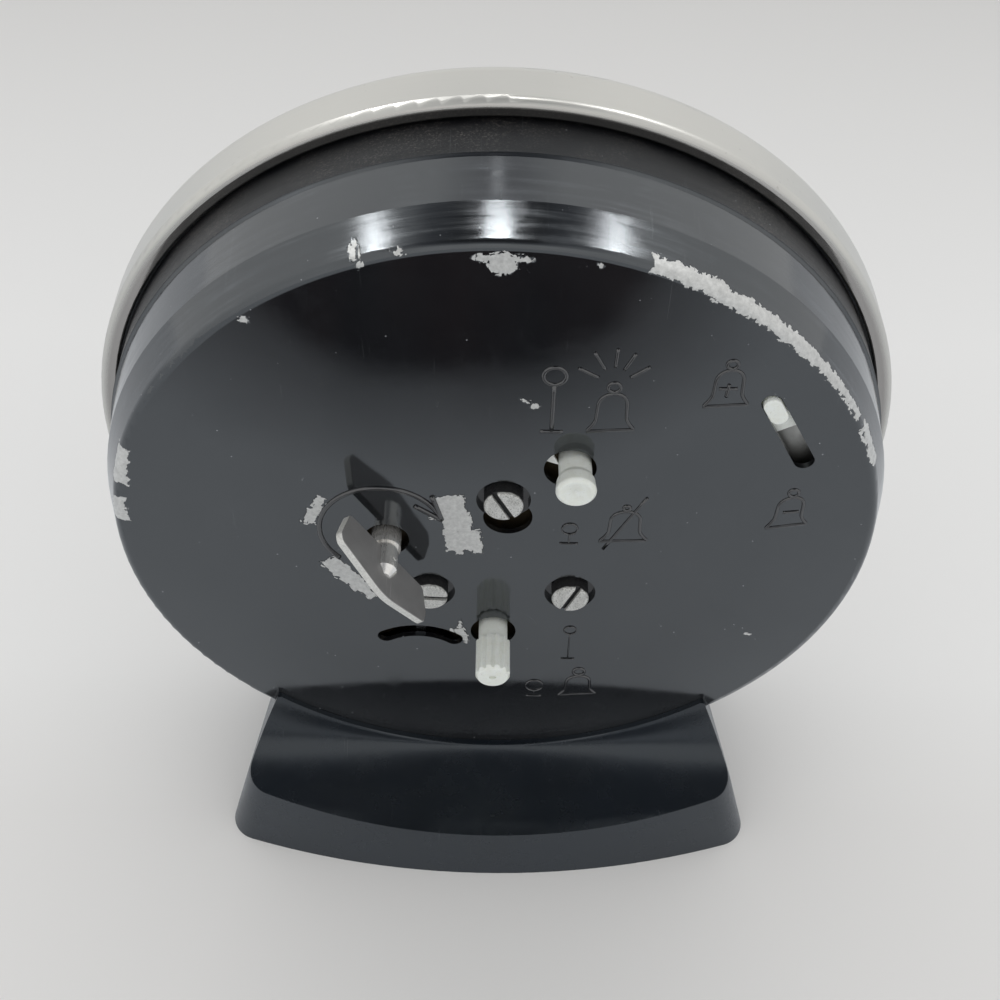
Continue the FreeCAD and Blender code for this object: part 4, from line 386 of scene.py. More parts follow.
def screw_nickel():
    """Pale pitted plating on the screw heads, with painted shade in black down their sides."""
    t = Tree("screw_nickel")
    place = t.drum()
    depth = t.maths("MULTIPLY", t.add("ShaderNodeSeparateXYZ", {"Vector": place}).outputs[1], -1.0)
    cloud = t.span(t.noise(place, 0.6, 4.0, 0.6, 0.5), 0.3, 0.7)
    shade = t.blend(cloud, (0.78, 0.78, 0.75), (0.58, 0.58, 0.55))
    pits = t.span(t.noise(place, 5.5, 3.0, 0.75), 0.50, 0.64)
    shade = t.blend(t.maths("MULTIPLY", pits, 0.75), shade, (0.13, 0.13, 0.125))
    wavy = t.maths("ADD", depth, t.span(t.noise(place, 1.2, 3.0), 0.3, 0.7, -0.08, 0.08))
    # painted shade: below these depths the head's side turns black, standing in for the shadowed gap
    # round the head
    black = t.span(wavy, *HEAD_PAINTED_SHADE)
    shade = t.blend(black, shade, (0.015, 0.015, 0.016))
    normal = t.bump(t.maths("MULTIPLY", pits, -1.0), 0.8, 0.06)
    t.set(Base_Color=shade, Roughness=t.span(cloud, 0.0, 1.0, 0.28, 0.40),
          Metallic=t.span(black, 0.0, 1.0, 0.55, 0.0), Normal=normal)
    return t.mat


def key_plate():
    """Dull plating on the wing's flat sides, and pale cut metal all round its edge, partly a painted
    highlight.
    """
    t = Tree("key_plate")
    place = t.drum()
    facing = t.add("ShaderNodeTexCoord").outputs["Normal"]
    turn = math.radians(KEY_TURN)
    wing_normal = (-math.sin(turn), 0, math.cos(turn))
    square = t.vector("DOT_PRODUCT", facing, wing_normal, out="Value")
    # the cut edge, square to the wing, turns pale: partly bare cut metal, partly painted highlight
    cut = t.span(t.maths("ABSOLUTE", square), 0.75, 0.55)
    cloud = t.span(t.noise(place, 0.35, 4.0, 0.6, 0.5), 0.3, 0.7)
    flat = t.blend(cloud, (0.215, 0.212, 0.210), (0.26, 0.257, 0.255))
    scratch = t.maths("MAXIMUM", t.hairlines(place, (0, 1.1, 0), 5.0, 0.66),
                      t.hairlines(place, (0, -0.4, 0.3), 6.0, 0.67))
    flat = t.blend(t.maths("MULTIPLY", scratch, 0.35), flat, (0.40, 0.40, 0.39))
    grain = t.noise(place, 4.0, 4.0, 0.7)
    pale = t.blend(t.span(grain, 0.35, 0.65), (0.55, 0.55, 0.52), (0.74, 0.74, 0.71))
    # every sharp edge turns pale as well: painted highlight
    shade = t.blend(t.maths("MAXIMUM", cut, t.maths("MULTIPLY", t.edges(0.22), 0.8)), flat, pale)
    normal = t.bump(grain, t.maths("ADD", t.maths("MULTIPLY", cut, 0.4), 0.12), 0.02)
    normal = t.bump(scratch, 0.25, 0.01, normal)
    t.set(Base_Color=shade, Roughness=t.span(cloud, 0.0, 1.0, 0.38, 0.52), Metallic=0.25,
          Normal=normal)
    return t.mat


def bezel_bright():
    """Pale satin plating, smoother on the lip at the back, with faint marks round the ring."""
    t = Tree("bezel_bright")
    place = t.drum()
    x, minus_depth, z, radius = t.parts(place)
    angle = t.maths("ARCTAN2", z, x)
    unrolled = t.joined(t.maths("MULTIPLY", radius, 3.0), t.maths("MULTIPLY", minus_depth, 3.0),
                        t.maths("MULTIPLY", angle, 2.0))
    lines = t.noise(unrolled, 1.0, 4.0, 0.65)
    nicks = t.maths("MULTIPLY", t.span(t.noise(place, 1.3, 2.0), 0.70, 0.73),
                    t.span(t.noise(place, 0.12), 0.52, 0.6))
    cloud = t.noise(place, 0.06, 3.0, 0.5)
    side = t.span(radius, BEZEL_SIDE - 1.2, BEZEL_SIDE - 0.4)
    colour = t.blend(t.span(cloud, 0.3, 0.7), (0.585, 0.58, 0.545), (0.56, 0.555, 0.525))
    colour = t.blend(side, (0.36, 0.345, 0.33), colour)
    colour = t.blend(t.maths("MULTIPLY", nicks, 0.35), colour, (0.30, 0.29, 0.27))
    rough = t.span(side, 0.0, 1.0, 0.10, 0.36)
    rough = t.maths("ADD", rough, t.span(lines, 0.3, 0.7, -0.02, 0.03))
    t.set(Base_Color=colour, Roughness=rough, Metallic=t.span(side, 0.0, 1.0, 1.0, 0.75),
          Normal=t.bump(lines, 0.03, 0.006))
    return t.mat


def foot_plastic():
    """Moulded black plastic with a fine eroded grain, dust and light rubbing on its edges."""
    t = Tree("foot_plastic")
    place = t.drum()
    grain = t.noise(place, 4.5, 3.0, 0.6)
    cloud = t.span(t.noise(place, 0.07, 3.0, 0.5), 0.3, 0.7)
    colour = t.blend(cloud, FOOT_BLACK, (0.007, 0.010, 0.015))
    specks = t.specks(place, 1.1, 0.07, 0.04, 0.5, 0.58, 0.62)
    colour = t.blend(t.maths("MULTIPLY", specks, 0.5), colour, DUST)
    scuff = t.hairlines(place, (0.4, 0.9, 0), 4.0, 0.70)
    rub = t.span(t.noise(place, 0.8, 3.0, 0.7), 0.4, 0.7, 0.1, 0.5)
    edge = t.maths("MULTIPLY", t.edges(0.5), rub)
    colour = t.blend(t.maths("MULTIPLY", t.maths("MAXIMUM", scuff, edge), 0.10), colour, DUST)
    rough = t.span(t.noise(place, 0.25, 4.0, 0.6), 0.3, 0.7, 0.22, 0.30)
    normal = t.bump(grain, 0.35, 0.03)
    t.set(Base_Color=colour, Roughness=rough, IOR=1.6, Normal=normal,
          Specular_Tint=(0.88, 0.95, 1.0))
    return t.mat


def milky_plastic():
    """Translucent milky plastic, yellowed a little and dirty in its small marks."""
    t = Tree("milky_plastic")
    place = t.drum()
    cloud = t.span(t.noise(place, 0.9, 4.0, 0.6, 0.4), 0.35, 0.65)
    colour = t.blend(cloud, MILKY, (0.76, 0.78, 0.72))
    dirt = t.maths("MULTIPLY", t.span(t.noise(place, 3.2, 4.0, 0.7), 0.60, 0.72), 0.35)
    colour = t.blend(dirt, colour, (0.34, 0.30, 0.24))
    rough = t.span(t.noise(place, 1.8, 3.0, 0.6), 0.3, 0.7, 0.26, 0.40)
    normal = t.bump(t.noise(place, 2.2, 4.0, 0.6), 0.25, 0.04)
    t.set(Base_Color=colour, Roughness=rough, IOR=1.5, Normal=normal, Subsurface_Weight=0.45,
          Subsurface_Scale=0.9 * MM, Subsurface_Radius=(1.0, 1.0, 0.9))
    return t.mat


def moulded_pale(name, colour, tint, rough):
    """Plain moulded plastic or paint with faint clouding, specks and grain."""
    t = Tree(name)
    place = t.drum()
    cloud = t.span(t.noise(place, 0.08, 4.0, 0.6), 0.3, 0.7)
    shade = t.blend(cloud, colour, tint)
    specks = t.specks(place, 0.8, 0.05, 0.03, 0.4, 0.6, 0.64)
    shade = t.blend(t.maths("MULTIPLY", specks, 0.5), shade, tuple(0.3 * part for part in colour))
    roughness = t.span(t.noise(place, 0.5, 3.0), 0.3, 0.7, rough * 0.85, rough * 1.15)
    t.set(Base_Color=shade, Roughness=roughness,
          Normal=t.bump(t.noise(place, 6.0, 3.0, 0.6), 0.2, 0.015))
    return t.mat


def hand_paint(name, colour, tint):
    """Satin paint of the hands with faint clouding, a fine grain and paler edges."""
    t = Tree(name)
    place = t.drum()
    cloud = t.span(t.noise(place, 0.5, 4.0, 0.6), 0.3, 0.7)
    shade = t.blend(cloud, colour, tint)
    shade = t.blend(t.maths("MULTIPLY", t.edges(0.15), 0.35), shade, (0.35, 0.35, 0.34))
    rough = t.span(t.noise(place, 2.0, 3.0), 0.3, 0.7, 0.22, 0.36)
    t.set(Base_Color=shade, Roughness=rough,
          Normal=t.bump(t.noise(place, 5.0, 3.0), 0.2, 0.015))
    return t.mat


def lens_clear():
    """Clear domed lens with a few hairlines and a trace of dust."""
    t = Tree("lens_clear")
    place = t.drum()
    scratch = t.hairlines(place, (0, 0.7, 0), 4.0, 0.69)
    rough = t.maths("ADD", t.span(t.noise(place, 0.2, 3.0), 0.35, 0.7, 0.0, 0.02),
                    t.maths("MULTIPLY", scratch, 0.15))
    normal = t.bump(t.noise(place, 0.15, 2.0), 0.05, 0.02)
    t.set(Base_Color=(0.97, 0.985, 0.98), Roughness=rough, IOR=1.49, Transmission_Weight=1.0,
          Normal=normal)
    return t.mat


def wear(material, *names):
    """The named nodes' meshes get the material."""
    for name in names:
        data = NODES[name].data
        data.materials.clear()
        data.materials.append(material)


def dress_nodes(lacquer):
    """Every carried-over solid gets its finish."""
    wear(lacquer, "case_shell")
    wear(bezel_bright(), "bezel")
    wear(foot_plastic(), "foot")
    wear(lens_clear(), "lens")
    wear(milky_plastic(), "set_knob", "alarm_knob", "volume_slider")
    wear(moulded_pale("ring_pale", (0.72, 0.72, 0.68), (0.66, 0.66, 0.62), 0.45),
         "reflector_ring", "dial_holder")
    wear(moulded_pale("dial_paint", DIAL_WHITE, (0.76, 0.73, 0.64), 0.4), "dial")
    wear(hand_paint("hand_black", PRINT_BLACK, (0.02, 0.02, 0.022)),
         "minute_hand", "hour_hand")
    wear(hand_paint("hand_red", (0.50, 0.03, 0.02), (0.42, 0.025, 0.02)), "alarm_hand")
    wear(key_plate(), "winding_key")
    wear(metal("arbor_steel", (0.86, 0.85, 0.82), 0.20, (0.70, 0.68, 0.65), brush=0.2, worn=0.5,
               turn=(math.pi / 2, 0, 0), metallic=0.75), "winding_arbor", "key_pin")
    wear(screw_nickel(), "back_screws")
    wear(metal("bell_nickel", (0.70, 0.69, 0.66), 0.22, (0.62, 0.61, 0.59), brush=0.15),
         "bell", "bell_post")
    wear(post_black(), "screw_posts")
    wear(metal("brass_satin", (0.72, 0.52, 0.22), 0.30, (0.62, 0.44, 0.19), brush=0.3, worn=0.35),
         "front_plate", "plate_pillars", "holder_posts", "barrel", "barrel_cover", "balance_cock")
    wear(metal("brass_dark", (0.085, 0.065, 0.038), 0.42, (0.045, 0.036, 0.024), brush=0.3,
               metallic=0.6), "rear_plate")
    wear(metal("brass_cut", (0.78, 0.58, 0.26), 0.22, (0.70, 0.52, 0.24), brush=0.2,
               turn=(0, -0.8, 0)),
         "bell_great_wheel", "centre_wheel", "third_wheel", "fourth_wheel", "escape_wheel",
         "bell_escape_wheel", "pallet_fork", "balance_wheel", "minute_wheel", "hour_wheel",
         "alarm_wheel")
    wear(metal("steel_turned", (0.55, 0.56, 0.57), 0.26, (0.46, 0.47, 0.48), brush=0.25, worn=0.3),
         "foot_screws", "foot_nuts", "pillar_nuts", "holder_screws", "click", "click_spring",
         "ratchet_wheel", "minute_stud", "mainspring", "hairspring", "detent_clip", "hammer",
         "regulator", "set_stem", "alarm_stem", "centre_arbor", "cannon_pinion", "hand_nut")
    wear(metal("zinc_dull", (0.40, 0.40, 0.38), 0.45, (0.32, 0.32, 0.31), brush=0.1),
         "volume_bracket")


# Lines of the signs: half width, rise above the face, and how many sides the line's tube has
LINE_HALF = 0.22
LINE_RISE = 0.20
LINE_SIDES = 12


def arc(cx, cz, radius_x, radius_z, first, last, steps):
    """Points on an ellipse from first to last, in degrees."""
    turns = [math.radians(first + (last - first) * i / steps) for i in range(steps + 1)]
    return [(cx + radius_x * math.cos(a), cz + radius_z * math.sin(a)) for a in turns]


def bell_outline(half, rise, neck=0.6, dome=0.7, flare=0.34):
    """Points round a bell that stands on z 0, from half its mouth and its height.

    neck is the dome's width as a share of the mouth; dome and flare are the heights, as shares of
    the whole, at which the dome begins and the mouth's flare ends.
    """
    waist = half * neck
    right = [(waist * math.cos(a), rise * (dome + (1 - dome) * math.sin(a)))
             for a in [math.radians(90 - 90 * i / 10) for i in range(11)]]
    for i in range(1, 9):
        share = i / 8
        level = rise * (dome - (dome - flare) * share)
        right.append((waist * (1 + 0.05 * share), level))
    for i in range(1, 11):
        share = i / 10
        level = rise * flare * (1 - share)
        right.append((waist * 1.05 + (half - waist * 1.05) * share ** 1.5, level))
    left = [(-x, z) for x, z in reversed(right[1:])]
    return left + right


def placed(points, x, z, slope=0.0):
    """Points moved to x, z; slope lifts them towards minus x."""
    return [(x + px, z + pz - slope * px) for px, pz in points]


def ridge(strokes, half=LINE_HALF, rise=LINE_RISE):
    """Vertices and faces of raised lines on the back.

    Each stroke is its points, and whether it closes.
    """
    verts, faces = [], []
    for points, closed in strokes:
        count = len(points)
        start = len(verts)
        for i, (px, pz) in enumerate(points):
            before = points[i - 1] if closed or i else points[i]
            after = points[(i + 1) % count] if closed or i < count - 1 else points[i]
            along = Vector((after[0] - before[0], after[1] - before[1])).normalized()
            for k in range(LINE_SIDES):
                turn = 2 * math.pi * k / LINE_SIDES
                off = half * math.cos(turn)
                verts.append(((px - along.y * off) * MM, FACE_Y + rise * math.sin(turn) * MM,
                              AXIS_Z + (pz + along.x * off) * MM))
        spans = count if closed else count - 1
        for i in range(spans):
            a, b = start + i * LINE_SIDES, start + (i + 1) % count * LINE_SIDES
            for k in range(LINE_SIDES):
                n = (k + 1) % LINE_SIDES
                faces.append((a + k, a + n, b + n, b + k))
        if not closed:
            last = start + (count - 1) * LINE_SIDES
            faces.append(tuple(start + k for k in reversed(range(LINE_SIDES))))
            faces.append(tuple(last + k for k in range(LINE_SIDES)))
    return verts, faces


def piece(name, verts, faces, material, body, smooth=True):
    """A new mesh that rides on the body and wears the material."""
    mesh = bpy.data.meshes.new(name)
    mesh.from_pydata(verts, [], faces)
    mesh.update()
    for polygon in mesh.polygons:
        polygon.use_smooth = smooth
    mesh.materials.append(material)
    obj = bpy.data.objects.new(name, mesh)
    bpy.context.scene.collection.objects.link(obj)
    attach(obj, body)


def line(ax, az, bx, bz, steps=6):
    """Points on a straight line from a to b."""
    return [(ax + (bx - ax) * i / steps, az + (bz - az) * i / steps) for i in range(steps + 1)]


def sign(name, strokes, material, **sizes):
    verts, faces = ridge(strokes, **sizes)
    piece(name, verts, faces, material, "clock")


def bell_sign(name, x, z, half, rise, ring, gap, slope, material, extra=()):
    """A bell with a ring on top, standing on x, z, with the extra lines beside or across it."""
    strokes = [(placed(bell_outline(half, rise), x, z, slope), True)]
    strokes.append((arc(x, z + rise + gap + ring, ring, ring, 0, 345, 23), True))
    strokes += [(points, False) for points in extra]
    sign(name, strokes, material)


def pin_sign(name, x, ring_z, ring, foot_z, bar, material, half=LINE_HALF):
    """A ring on a stem that stands on a short bar: the knob seen from the side."""
    strokes = [(arc(x, ring_z, ring, ring, 0, 350, 35), True),
               (line(x, ring_z - ring, x, foot_z), False),
               (line(x - bar, foot_z, x + bar, foot_z), False)]
    sign(name, strokes, material, half=half)


# The pale lug seen in the alarm knob's hole: its corners, its depth, and the post that it stands on
LUG = [(-7.46, 14.4), (-4.4, 15.6), (-6.1, 17.25)]
LUG_DEPTH = 1.25
LUG_THICK = 0.35
LUG_POST = (-5.75, 15.85)
LUG_POST_RADIUS = 0.45

# The arrow round the key: centre, radius, first and last angle, and the ends of its two barbs
ARROW_CENTRE = (14.45, 2.8)
ARROW_RADIUS = 7.9
ARROW_FIRST, ARROW_LAST = -44.0, 164.0
ARROW_BARBS = [(8.0, 9.3), (10.2, 7.5)]


def signs():
    """Raised signs beside the knobs, and the arrow for the winding key."""
    material = sign_black()
    bend = arc(*ARROW_CENTRE, ARROW_RADIUS, ARROW_RADIUS, ARROW_FIRST, ARROW_LAST, 60)
    strokes = [(bend, False)] + [(line(*bend[-1], *barb), False) for barb in ARROW_BARBS]
    sign("arrow_line", strokes, material, half=0.34, rise=0.30)
    pin_sign("pull_sign", -6.2, 29.75, 1.3, 20.95, 1.35, material, half=0.26)
    rays = [line(-8.79, 31.06, -11.14, 29.68), line(-10.44, 33.42, -11.82, 30.9),
            line(-13.0, 34.0, -12.91, 31.3), line(-15.03, 33.33, -13.95, 30.9),
            line(-16.81, 31.41, -14.72, 29.76)]
    bell_sign("ringing_bell_sign", -13.05, 21.3, 2.8, 5.9, 0.72, 0.25, 0.08, material, rays)
    plus = [line(-24.93, 28.28, -27.01, 28.33), line(-26.0, 28.95, -25.9, 27.05)]
    bell_sign("loud_bell_sign", -26.0, 25.65, 2.6, 5.5, 0.62, 0.2, 0.10, material, plus)
    minus = [line(-35.75, 7.42, -37.65, 7.69)]
    bell_sign("soft_bell_sign", -36.5, 4.9, 2.55, 5.3, 0.62, 0.2, 0.21, material, minus)
    pin_sign("push_sign", -9.35, 3.65, 1.0, 0.85, 1.2, material, half=0.12)
    slash = [line(-18.6, 9.68, -13.84, -0.13)]
    bell_sign("silent_bell_sign", -16.25, 1.5, 3.1, 5.6, 0.42, 0.2, 0.05, material, slash)
    pin_sign("set_time_sign", -10.6, -17.55, 0.85, -24.15, 0.95, material, half=0.11)
    pin_sign("set_alarm_sign", -6.15, -30.8, 1.25, -33.35, 1.1, material, half=0.13)
    bell_sign("alarm_bell_sign", -12.4, -32.95, 2.8, 4.6, 0.8, 0.25, 0.11, material)


def white_lug():
    """Pale pointed lug behind the alarm knob's hole, on a post from the rear plate."""
    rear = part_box("rear_plate")[1].y
    verts, faces = [], []
    level = FACE_Y - LUG_DEPTH * MM
    flat_patch(verts, faces, LUG, level, LUG_THICK)
    post = arc(*LUG_POST, LUG_POST_RADIUS, LUG_POST_RADIUS, 0, 345, 23)
    flat_patch(verts, faces, post, rear, (level - rear) / MM)
    pale = moulded_pale("lug_pale", (0.85, 0.86, 0.83), (0.80, 0.81, 0.78), 0.4)
    piece("white_lug", verts, faces, pale, "clock", smooth=False)


# Dial: its track and numerals, half widths of the marks and of the track's two rings, how much
# longer an hour's mark is, and the print's thickness and gap
TRACK_INNER = 40.6
TRACK_OUTER = 42.4
RING_HALF = 0.09
MINUTE_HALF = 0.14
HOUR_HALF = 0.42
HOUR_LONGER = 1.6
NUMERAL_RADIUS = 33.4
NUMERAL_SIZE = 8.2
PRINT_THICK = 0.03
PRINT_GAP = 0.01

# Glowing paint: dots inside the track, and on each hand its body, clock angle, first and last
# radius, and half width at each
DOT_RADIUS = 0.75
DOT_INSIDE = 2.9
DOT_THICK = 0.15
BAR_THICK = 0.06
HAND_BARS = (
    ("minute_hand", "minute_shaft", 60.0, 13.0, 30.0, 0.75, 0.5),
    ("hour_hand", "hour_tube", 305.0, 9.0, 18.5, 0.95, 0.65),
)


def flat_patch(verts, faces, corners, level, thick):
    """Adds a thin slab under the x, z corners, given in turn, with its front at level."""
    count = len(corners)
    start = len(verts)
    for depth in (level, level + thick * MM):
        verts.extend((x * MM, depth, AXIS_Z + z * MM) for x, z in corners)
    faces.append(tuple(start + i for i in range(count)))
    faces.append(tuple(start + count + i for i in reversed(range(count))))
    for i in range(count):
        n = (i + 1) % count
        faces.append((start + i, start + count + i, start + count + n, start + n))


def on_dial(angle, radius, across=0.0):
    """Point at a clock angle, from twelve, as a reader of the dial sees it."""
    a = math.radians(angle)
    return (radius * math.sin(a) + across * math.cos(a),
            radius * math.cos(a) - across * math.sin(a))


def bar_corners(angle, first, last, half_in, half_out):
    """Corners of a bar at a clock angle, from the first radius to the last."""
    return [on_dial(angle, first, -half_in), on_dial(angle, first, half_in),
            on_dial(angle, last, half_out), on_dial(angle, last, -half_out)]


def dial_print():
    """Minute track, hour marks and numerals on the dial."""
    ink = hand_paint("dial_ink", PRINT_BLACK, (0.018, 0.018, 0.02))
    level = DIAL_Y - (PRINT_THICK + PRINT_GAP) * MM
    verts, faces = [], []
    for minute in range(60):
        on_hour = minute % 5 == 0
        wide = HOUR_HALF if on_hour else MINUTE_HALF
        inner = TRACK_INNER - (HOUR_LONGER if on_hour else 0.0)
        corners = bar_corners(minute * 6, inner, TRACK_OUTER, wide, wide)
        flat_patch(verts, faces, corners, level, PRINT_THICK)
    for radius in (TRACK_INNER, TRACK_OUTER):
        for step in range(120):
            first, last = step * 3, step * 3 + 3
            corners = [on_dial(first, radius - RING_HALF), on_dial(last, radius - RING_HALF),
                       on_dial(last, radius + RING_HALF), on_dial(first, radius + RING_HALF)]
            flat_patch(verts, faces, corners, level, PRINT_THICK)
    piece("minute_track", verts, faces, ink, "clock", smooth=False)

    verts, faces = [], []
    for hour in range(1, 13):
        data = bpy.data.curves.new(f"numeral_{hour}", "FONT")
        data.body = str(hour)
        data.size = NUMERAL_SIZE
        data.align_x = "CENTER"
        data.align_y = "CENTER"
        data.extrude = PRINT_THICK / 2
        text = bpy.data.objects.new(f"numeral_{hour}", data)
        bpy.context.scene.collection.objects.link(text)
        bpy.context.view_layer.update()
        graph = bpy.context.evaluated_depsgraph_get()
        mesh = bpy.data.meshes.new_from_object(text.evaluated_get(graph))
        cx, cz = on_dial(hour * 30, NUMERAL_RADIUS)
        start = len(verts)
        middle = level + PRINT_THICK / 2 * MM
        verts.extend(((cx + v.co.x) * MM, middle - v.co.z * MM, AXIS_Z + (cz + v.co.y) * MM)
                     for v in mesh.vertices)
        faces.extend(tuple(start + i for i in p.vertices) for p in mesh.polygons)
        bpy.data.objects.remove(text)
        bpy.data.meshes.remove(mesh)
    piece("dial_numerals", verts, faces, ink, "clock", smooth=False)


def lume_marks():
    """Pale paint that glows: dots inside the minute track and bars on the hands."""
    paint = moulded_pale("lume_paint", LUME, (0.56, 0.66, 0.42), 0.7)
    verts, faces = [], []
    for hour in range(12):
        middle = on_dial(hour * 30, TRACK_INNER - DOT_INSIDE)
        dot = arc(*middle, DOT_RADIUS, DOT_RADIUS, 0, 345, 23)
        flat_patch(verts, faces, dot, DIAL_Y - (DOT_THICK + PRINT_GAP) * MM, DOT_THICK)
    piece("lume_dots", verts, faces, paint, "clock", smooth=False)
    for node, body, *bar in HAND_BARS:
        verts, faces = [], []
        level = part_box(node)[0].y - BAR_THICK * MM
        flat_patch(verts, faces, bar_corners(*bar), level, BAR_THICK)
        piece(node.replace("hand", "lume"), verts, faces, paint, body,
              smooth=False)


# Lamps overhead: direction as degrees round from the back and degrees up, width and height in
# metres, strength
LAMPS = [
    ("lamp_middle", 177.0, 79.3, 0.17, 0.22, 36.0),
    ("lamp_left", 112.0, 57.5, 0.17, 0.18, 48.0),
    ("lamp_right", -113.5, 60.0, 0.16, 0.18, 44.0),
    ("lamp_front", 179.0, 45.3, 0.06, 0.06, 2.2),
]
# How far they stand in metres, and how high over the axis the point is that they face
LAMP_AWAY = 1.6
LAMP_AIM = 48 * MM

# The room's brightness by the cosine from straight overhead, which falls off faster to the sides
ROOM = (0.91, 0.91, 0.91)
SKY = [
    (0.56, (0.95, 0.95, 0.95)),
    (0.70, (0.50, 0.51, 0.53)),
    (0.80, (0.16, 0.17, 0.19)),
    (0.92, (0.04, 0.045, 0.05)),
]
SKY_CENTRE = (0, 0.05, 1)
SKY_SQUEEZE = 2.3


def lamps():
    """Small ceiling lamps, seen only as bright marks in what shines. The room gives the light."""
    aim = Vector((0, FACE_Y, AXIS_Z + LAMP_AIM))
    for name, turn, lift, width, height, glow in LAMPS:
        a, e = math.radians(turn), math.radians(lift)
        way = Vector((math.sin(a) * math.cos(e), math.cos(a) * math.cos(e), math.sin(e)))
        data = bpy.data.lights.new(name, "AREA")
        data.shape = "RECTANGLE"
        data.size = width
        data.size_y = height
        data.energy = glow * math.pi * width * height
        obj = bpy.data.objects.new(name, data)
        obj.location = aim + way * LAMP_AWAY
        obj.rotation_euler = way.to_track_quat("Z", "Y").to_euler()
        obj.visible_diffuse = False
        bpy.context.scene.collection.objects.link(obj)


def world_light():
    """A pale room. What shines sees it darker straight overhead, between the lamps."""
    world = bpy.data.worlds.new("world")
    bpy.context.scene.world = world
    world.use_nodes = True
    tree = world.node_tree
    ground = tree.nodes["Background"]
    way = tree.nodes.new("ShaderNodeTexCoord").outputs["Generated"]
    dot = tree.nodes.new("ShaderNodeVectorMath")
    dot.operation = "DOT_PRODUCT"
    squeeze = tree.nodes.new("ShaderNodeMapping")
    squeeze.vector_type = "VECTOR"
    squeeze.inputs["Scale"].default_value = (SKY_SQUEEZE, 1, 1)
    tree.links.new(way, squeeze.inputs["Vector"])
    unit = tree.nodes.new("ShaderNodeVectorMath")
    unit.operation = "NORMALIZE"
    tree.links.new(squeeze.outputs[0], unit.inputs[0])
    tree.links.new(unit.outputs["Vector"], dot.inputs[0])
    dot.inputs[1].default_value = Vector(SKY_CENTRE).normalized()
    ramp = tree.nodes.new("ShaderNodeValToRGB")
    tree.links.new(dot.outputs["Value"], ramp.inputs[0])
    ramp.color_ramp.interpolation = "EASE"
    first, last = ramp.color_ramp.elements
    first.position, first.color = SKY[0][0], (*SKY[0][1], 1)
    last.position, last.color = SKY[-1][0], (*SKY[-1][1], 1)
    for place, colour in SKY[1:-1]:
        ramp.color_ramp.elements.new(place).color = (*colour, 1)
    mix = tree.nodes.new("ShaderNodeMix")
    mix.data_type = "RGBA"
    tree.links.new(tree.nodes.new("ShaderNodeLightPath").outputs["Is Glossy Ray"], mix.inputs[0])
    mix.inputs[6].default_value = (*ROOM, 1)
    tree.links.new(ramp.outputs[0], mix.inputs[7])
    tree.links.new(mix.outputs[2], ground.inputs["Color"])
    ground.inputs["Strength"].default_value = 1.0


# Floor and card in metres: the floor's half side, the card's sides and its height above the floor
FLOOR_HALF = 3
CARD_SIDES = (-0.12, 0.14, 0.06, 0.26)
CARD_HEIGHT = 0.001
# The card's dark oval: half sizes and middle
CARD_OVAL = (48.0, 44.0, 48.0)
CARD_MIDDLE = (11.0, 145.0, 0.0)


def level_quad(name, left, right, near, far, height, material):
    """A level four-sided mesh of the stage."""
    corners = [(left, near, height), (right, near, height), (right, far, height),
               (left, far, height)]
    mesh = bpy.data.meshes.new(name)
    mesh.from_pydata(corners, [], [(0, 1, 2, 3)])
    mesh.materials.append(material)
    obj = bpy.data.objects.new(name, mesh)
    bpy.context.scene.collection.objects.link(obj)
    return obj


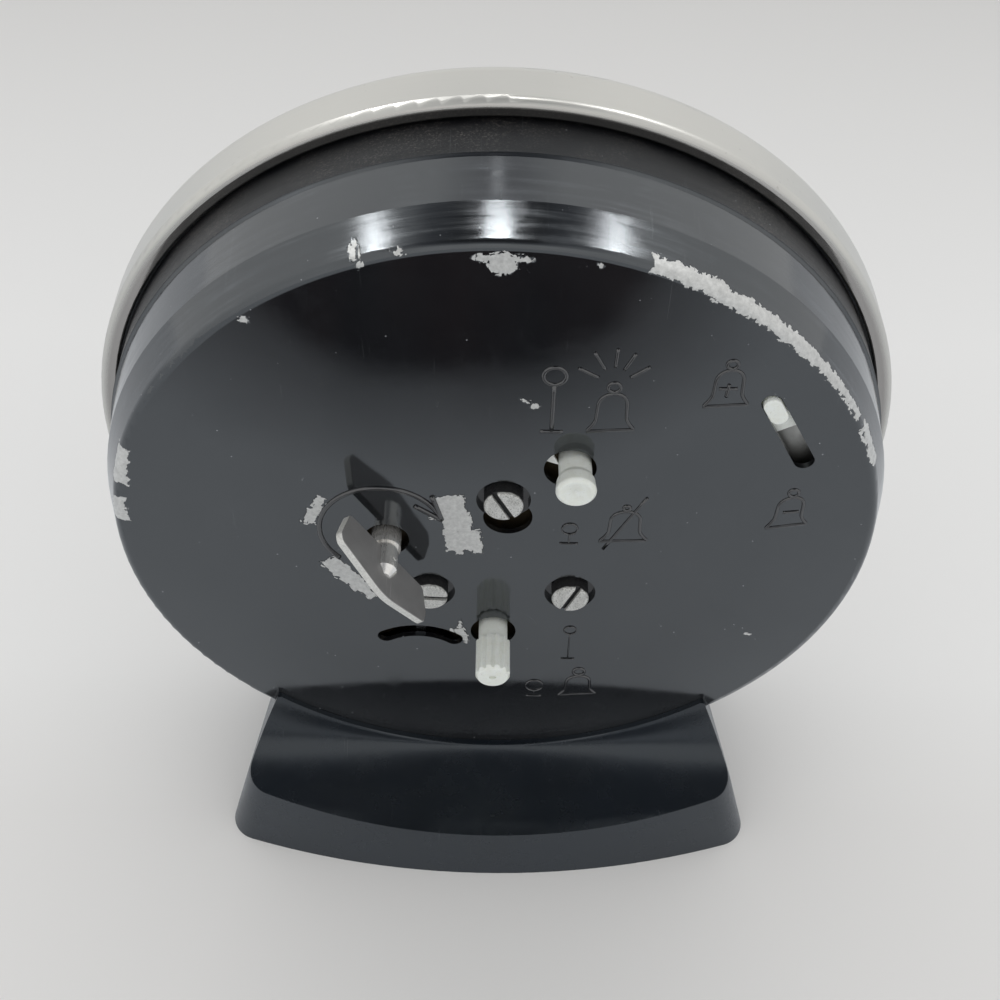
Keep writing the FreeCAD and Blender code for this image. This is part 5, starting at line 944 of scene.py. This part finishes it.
def floor_and_card():
    """A pale floor with painted shade, and a dark card behind the camera's foot that only
    reflections show.
    """
    t = Tree("floor_pale")
    place = t.mapped(t.object_place, (1 / MM, 1 / MM, 1 / MM))
    split = t.add("ShaderNodeSeparateXYZ", {"Vector": place})
    cloud = t.span(t.noise(place, 0.004, 2.0), 0.3, 0.7)
    # painted shade: the floor darkens far beyond the clock, away from the camera
    far = t.span(split.outputs[1], -100.0, -260.0)
    # painted shade: the floor darkens towards the camera
    painted_shade_camera_side = t.span(split.outputs[1], -14.0, 12.0)
    # painted shadow of the clock: a darker oval on the floor on the camera's side of it
    shade = t.mapped(place, (30.0, 34.0, 30.0), (-2.0, 55.0, 0.0), kind="TEXTURE")
    near = t.vector("LENGTH", shade, out="Value")
    seen = t.blend(cloud, (0.850, 0.848, 0.838), (0.835, 0.835, 0.83))
    seen = t.blend(far, seen, (0.65, 0.645, 0.635))
    seen = t.blend(painted_shade_camera_side, seen, (0.80, 0.793, 0.782))
    seen = t.blend(t.span(near, 1.6, 0.2), seen, (0.74, 0.735, 0.725))
    plain = t.blend(cloud, (0.80, 0.82, 0.85), (0.77, 0.79, 0.82))
    # only the camera sees the painted shade; other rays see the plain floor
    by_camera = t.add("ShaderNodeLightPath").outputs["Is Camera Ray"]
    t.set(Base_Color=t.blend(by_camera, plain, seen), Roughness=0.6, Specular_IOR_Level=0.2)
    level_quad("floor", -FLOOR_HALF, FLOOR_HALF, -FLOOR_HALF, FLOOR_HALF, 0, t.mat)

    t = Tree("card_dark")
    place = t.mapped(t.object_place, (1 / MM, 1 / MM, 1 / MM))
    apart = t.vector("LENGTH", t.mapped(place, CARD_OVAL, CARD_MIDDLE, kind="TEXTURE"), out="Value")
    apart = t.maths("ADD", apart, t.span(t.noise(place, 0.03, 2.0), 0.3, 0.7, -0.05, 0.05))
    halo = t.span(apart, 1.68, 1.15, 0.0, 0.55)
    core = t.span(apart, 1.10, 0.90, 0.0, 0.43)
    streaks = t.noise(t.mapped(place, (0.05, 0.008, 1.0)), 1.0, 3.0)
    dark = t.blend(t.span(streaks, 0.4, 0.65), (0.02, 0.018, 0.02), (0.055, 0.03, 0.028))
    t.set(Base_Color=dark, Roughness=0.9, Specular_IOR_Level=0.0, Alpha=t.maths("ADD", halo, core))
    card = level_quad("card", *CARD_SIDES, CARD_HEIGHT, t.mat)
    card.visible_camera = False
    card.visible_diffuse = False
    card.visible_shadow = False
    card.visible_transmission = False


def camera():
    """The photograph's camera, looking down on the back."""
    data = bpy.data.cameras.new("camera")
    obj = bpy.data.objects.new("camera", data)
    bpy.context.scene.collection.objects.link(obj)
    level = math.cos(CAMERA_TILT)
    back = Vector((math.sin(CAMERA_TURN) * level, math.cos(CAMERA_TURN) * level,
                   math.sin(CAMERA_TILT)))
    across = (-back).cross(Vector((0, 0, 1))).normalized()
    upward = across.cross(-back)
    right = across * math.cos(CAMERA_ROLL) + upward * math.sin(CAMERA_ROLL)
    up = upward * math.cos(CAMERA_ROLL) - across * math.sin(CAMERA_ROLL)
    place = Matrix((right, up, back)).transposed().to_4x4()
    place.translation = CAMERA_TARGET + back * CAMERA_DISTANCE
    obj.matrix_world = place
    data.sensor_width = SENSOR_WIDTH
    data.lens = FOCAL_PIXELS / IMAGE_PIXELS * SENSOR_WIDTH
    data.clip_start = CLIP_START
    bpy.context.scene.camera = obj


bpy.context.scene.view_settings.view_transform = "Standard"
camera()
floor_and_card()
world_light()
lamps()
dress_nodes(lacquer_black())
signs()
white_lug()
dial_print()
lume_marks()
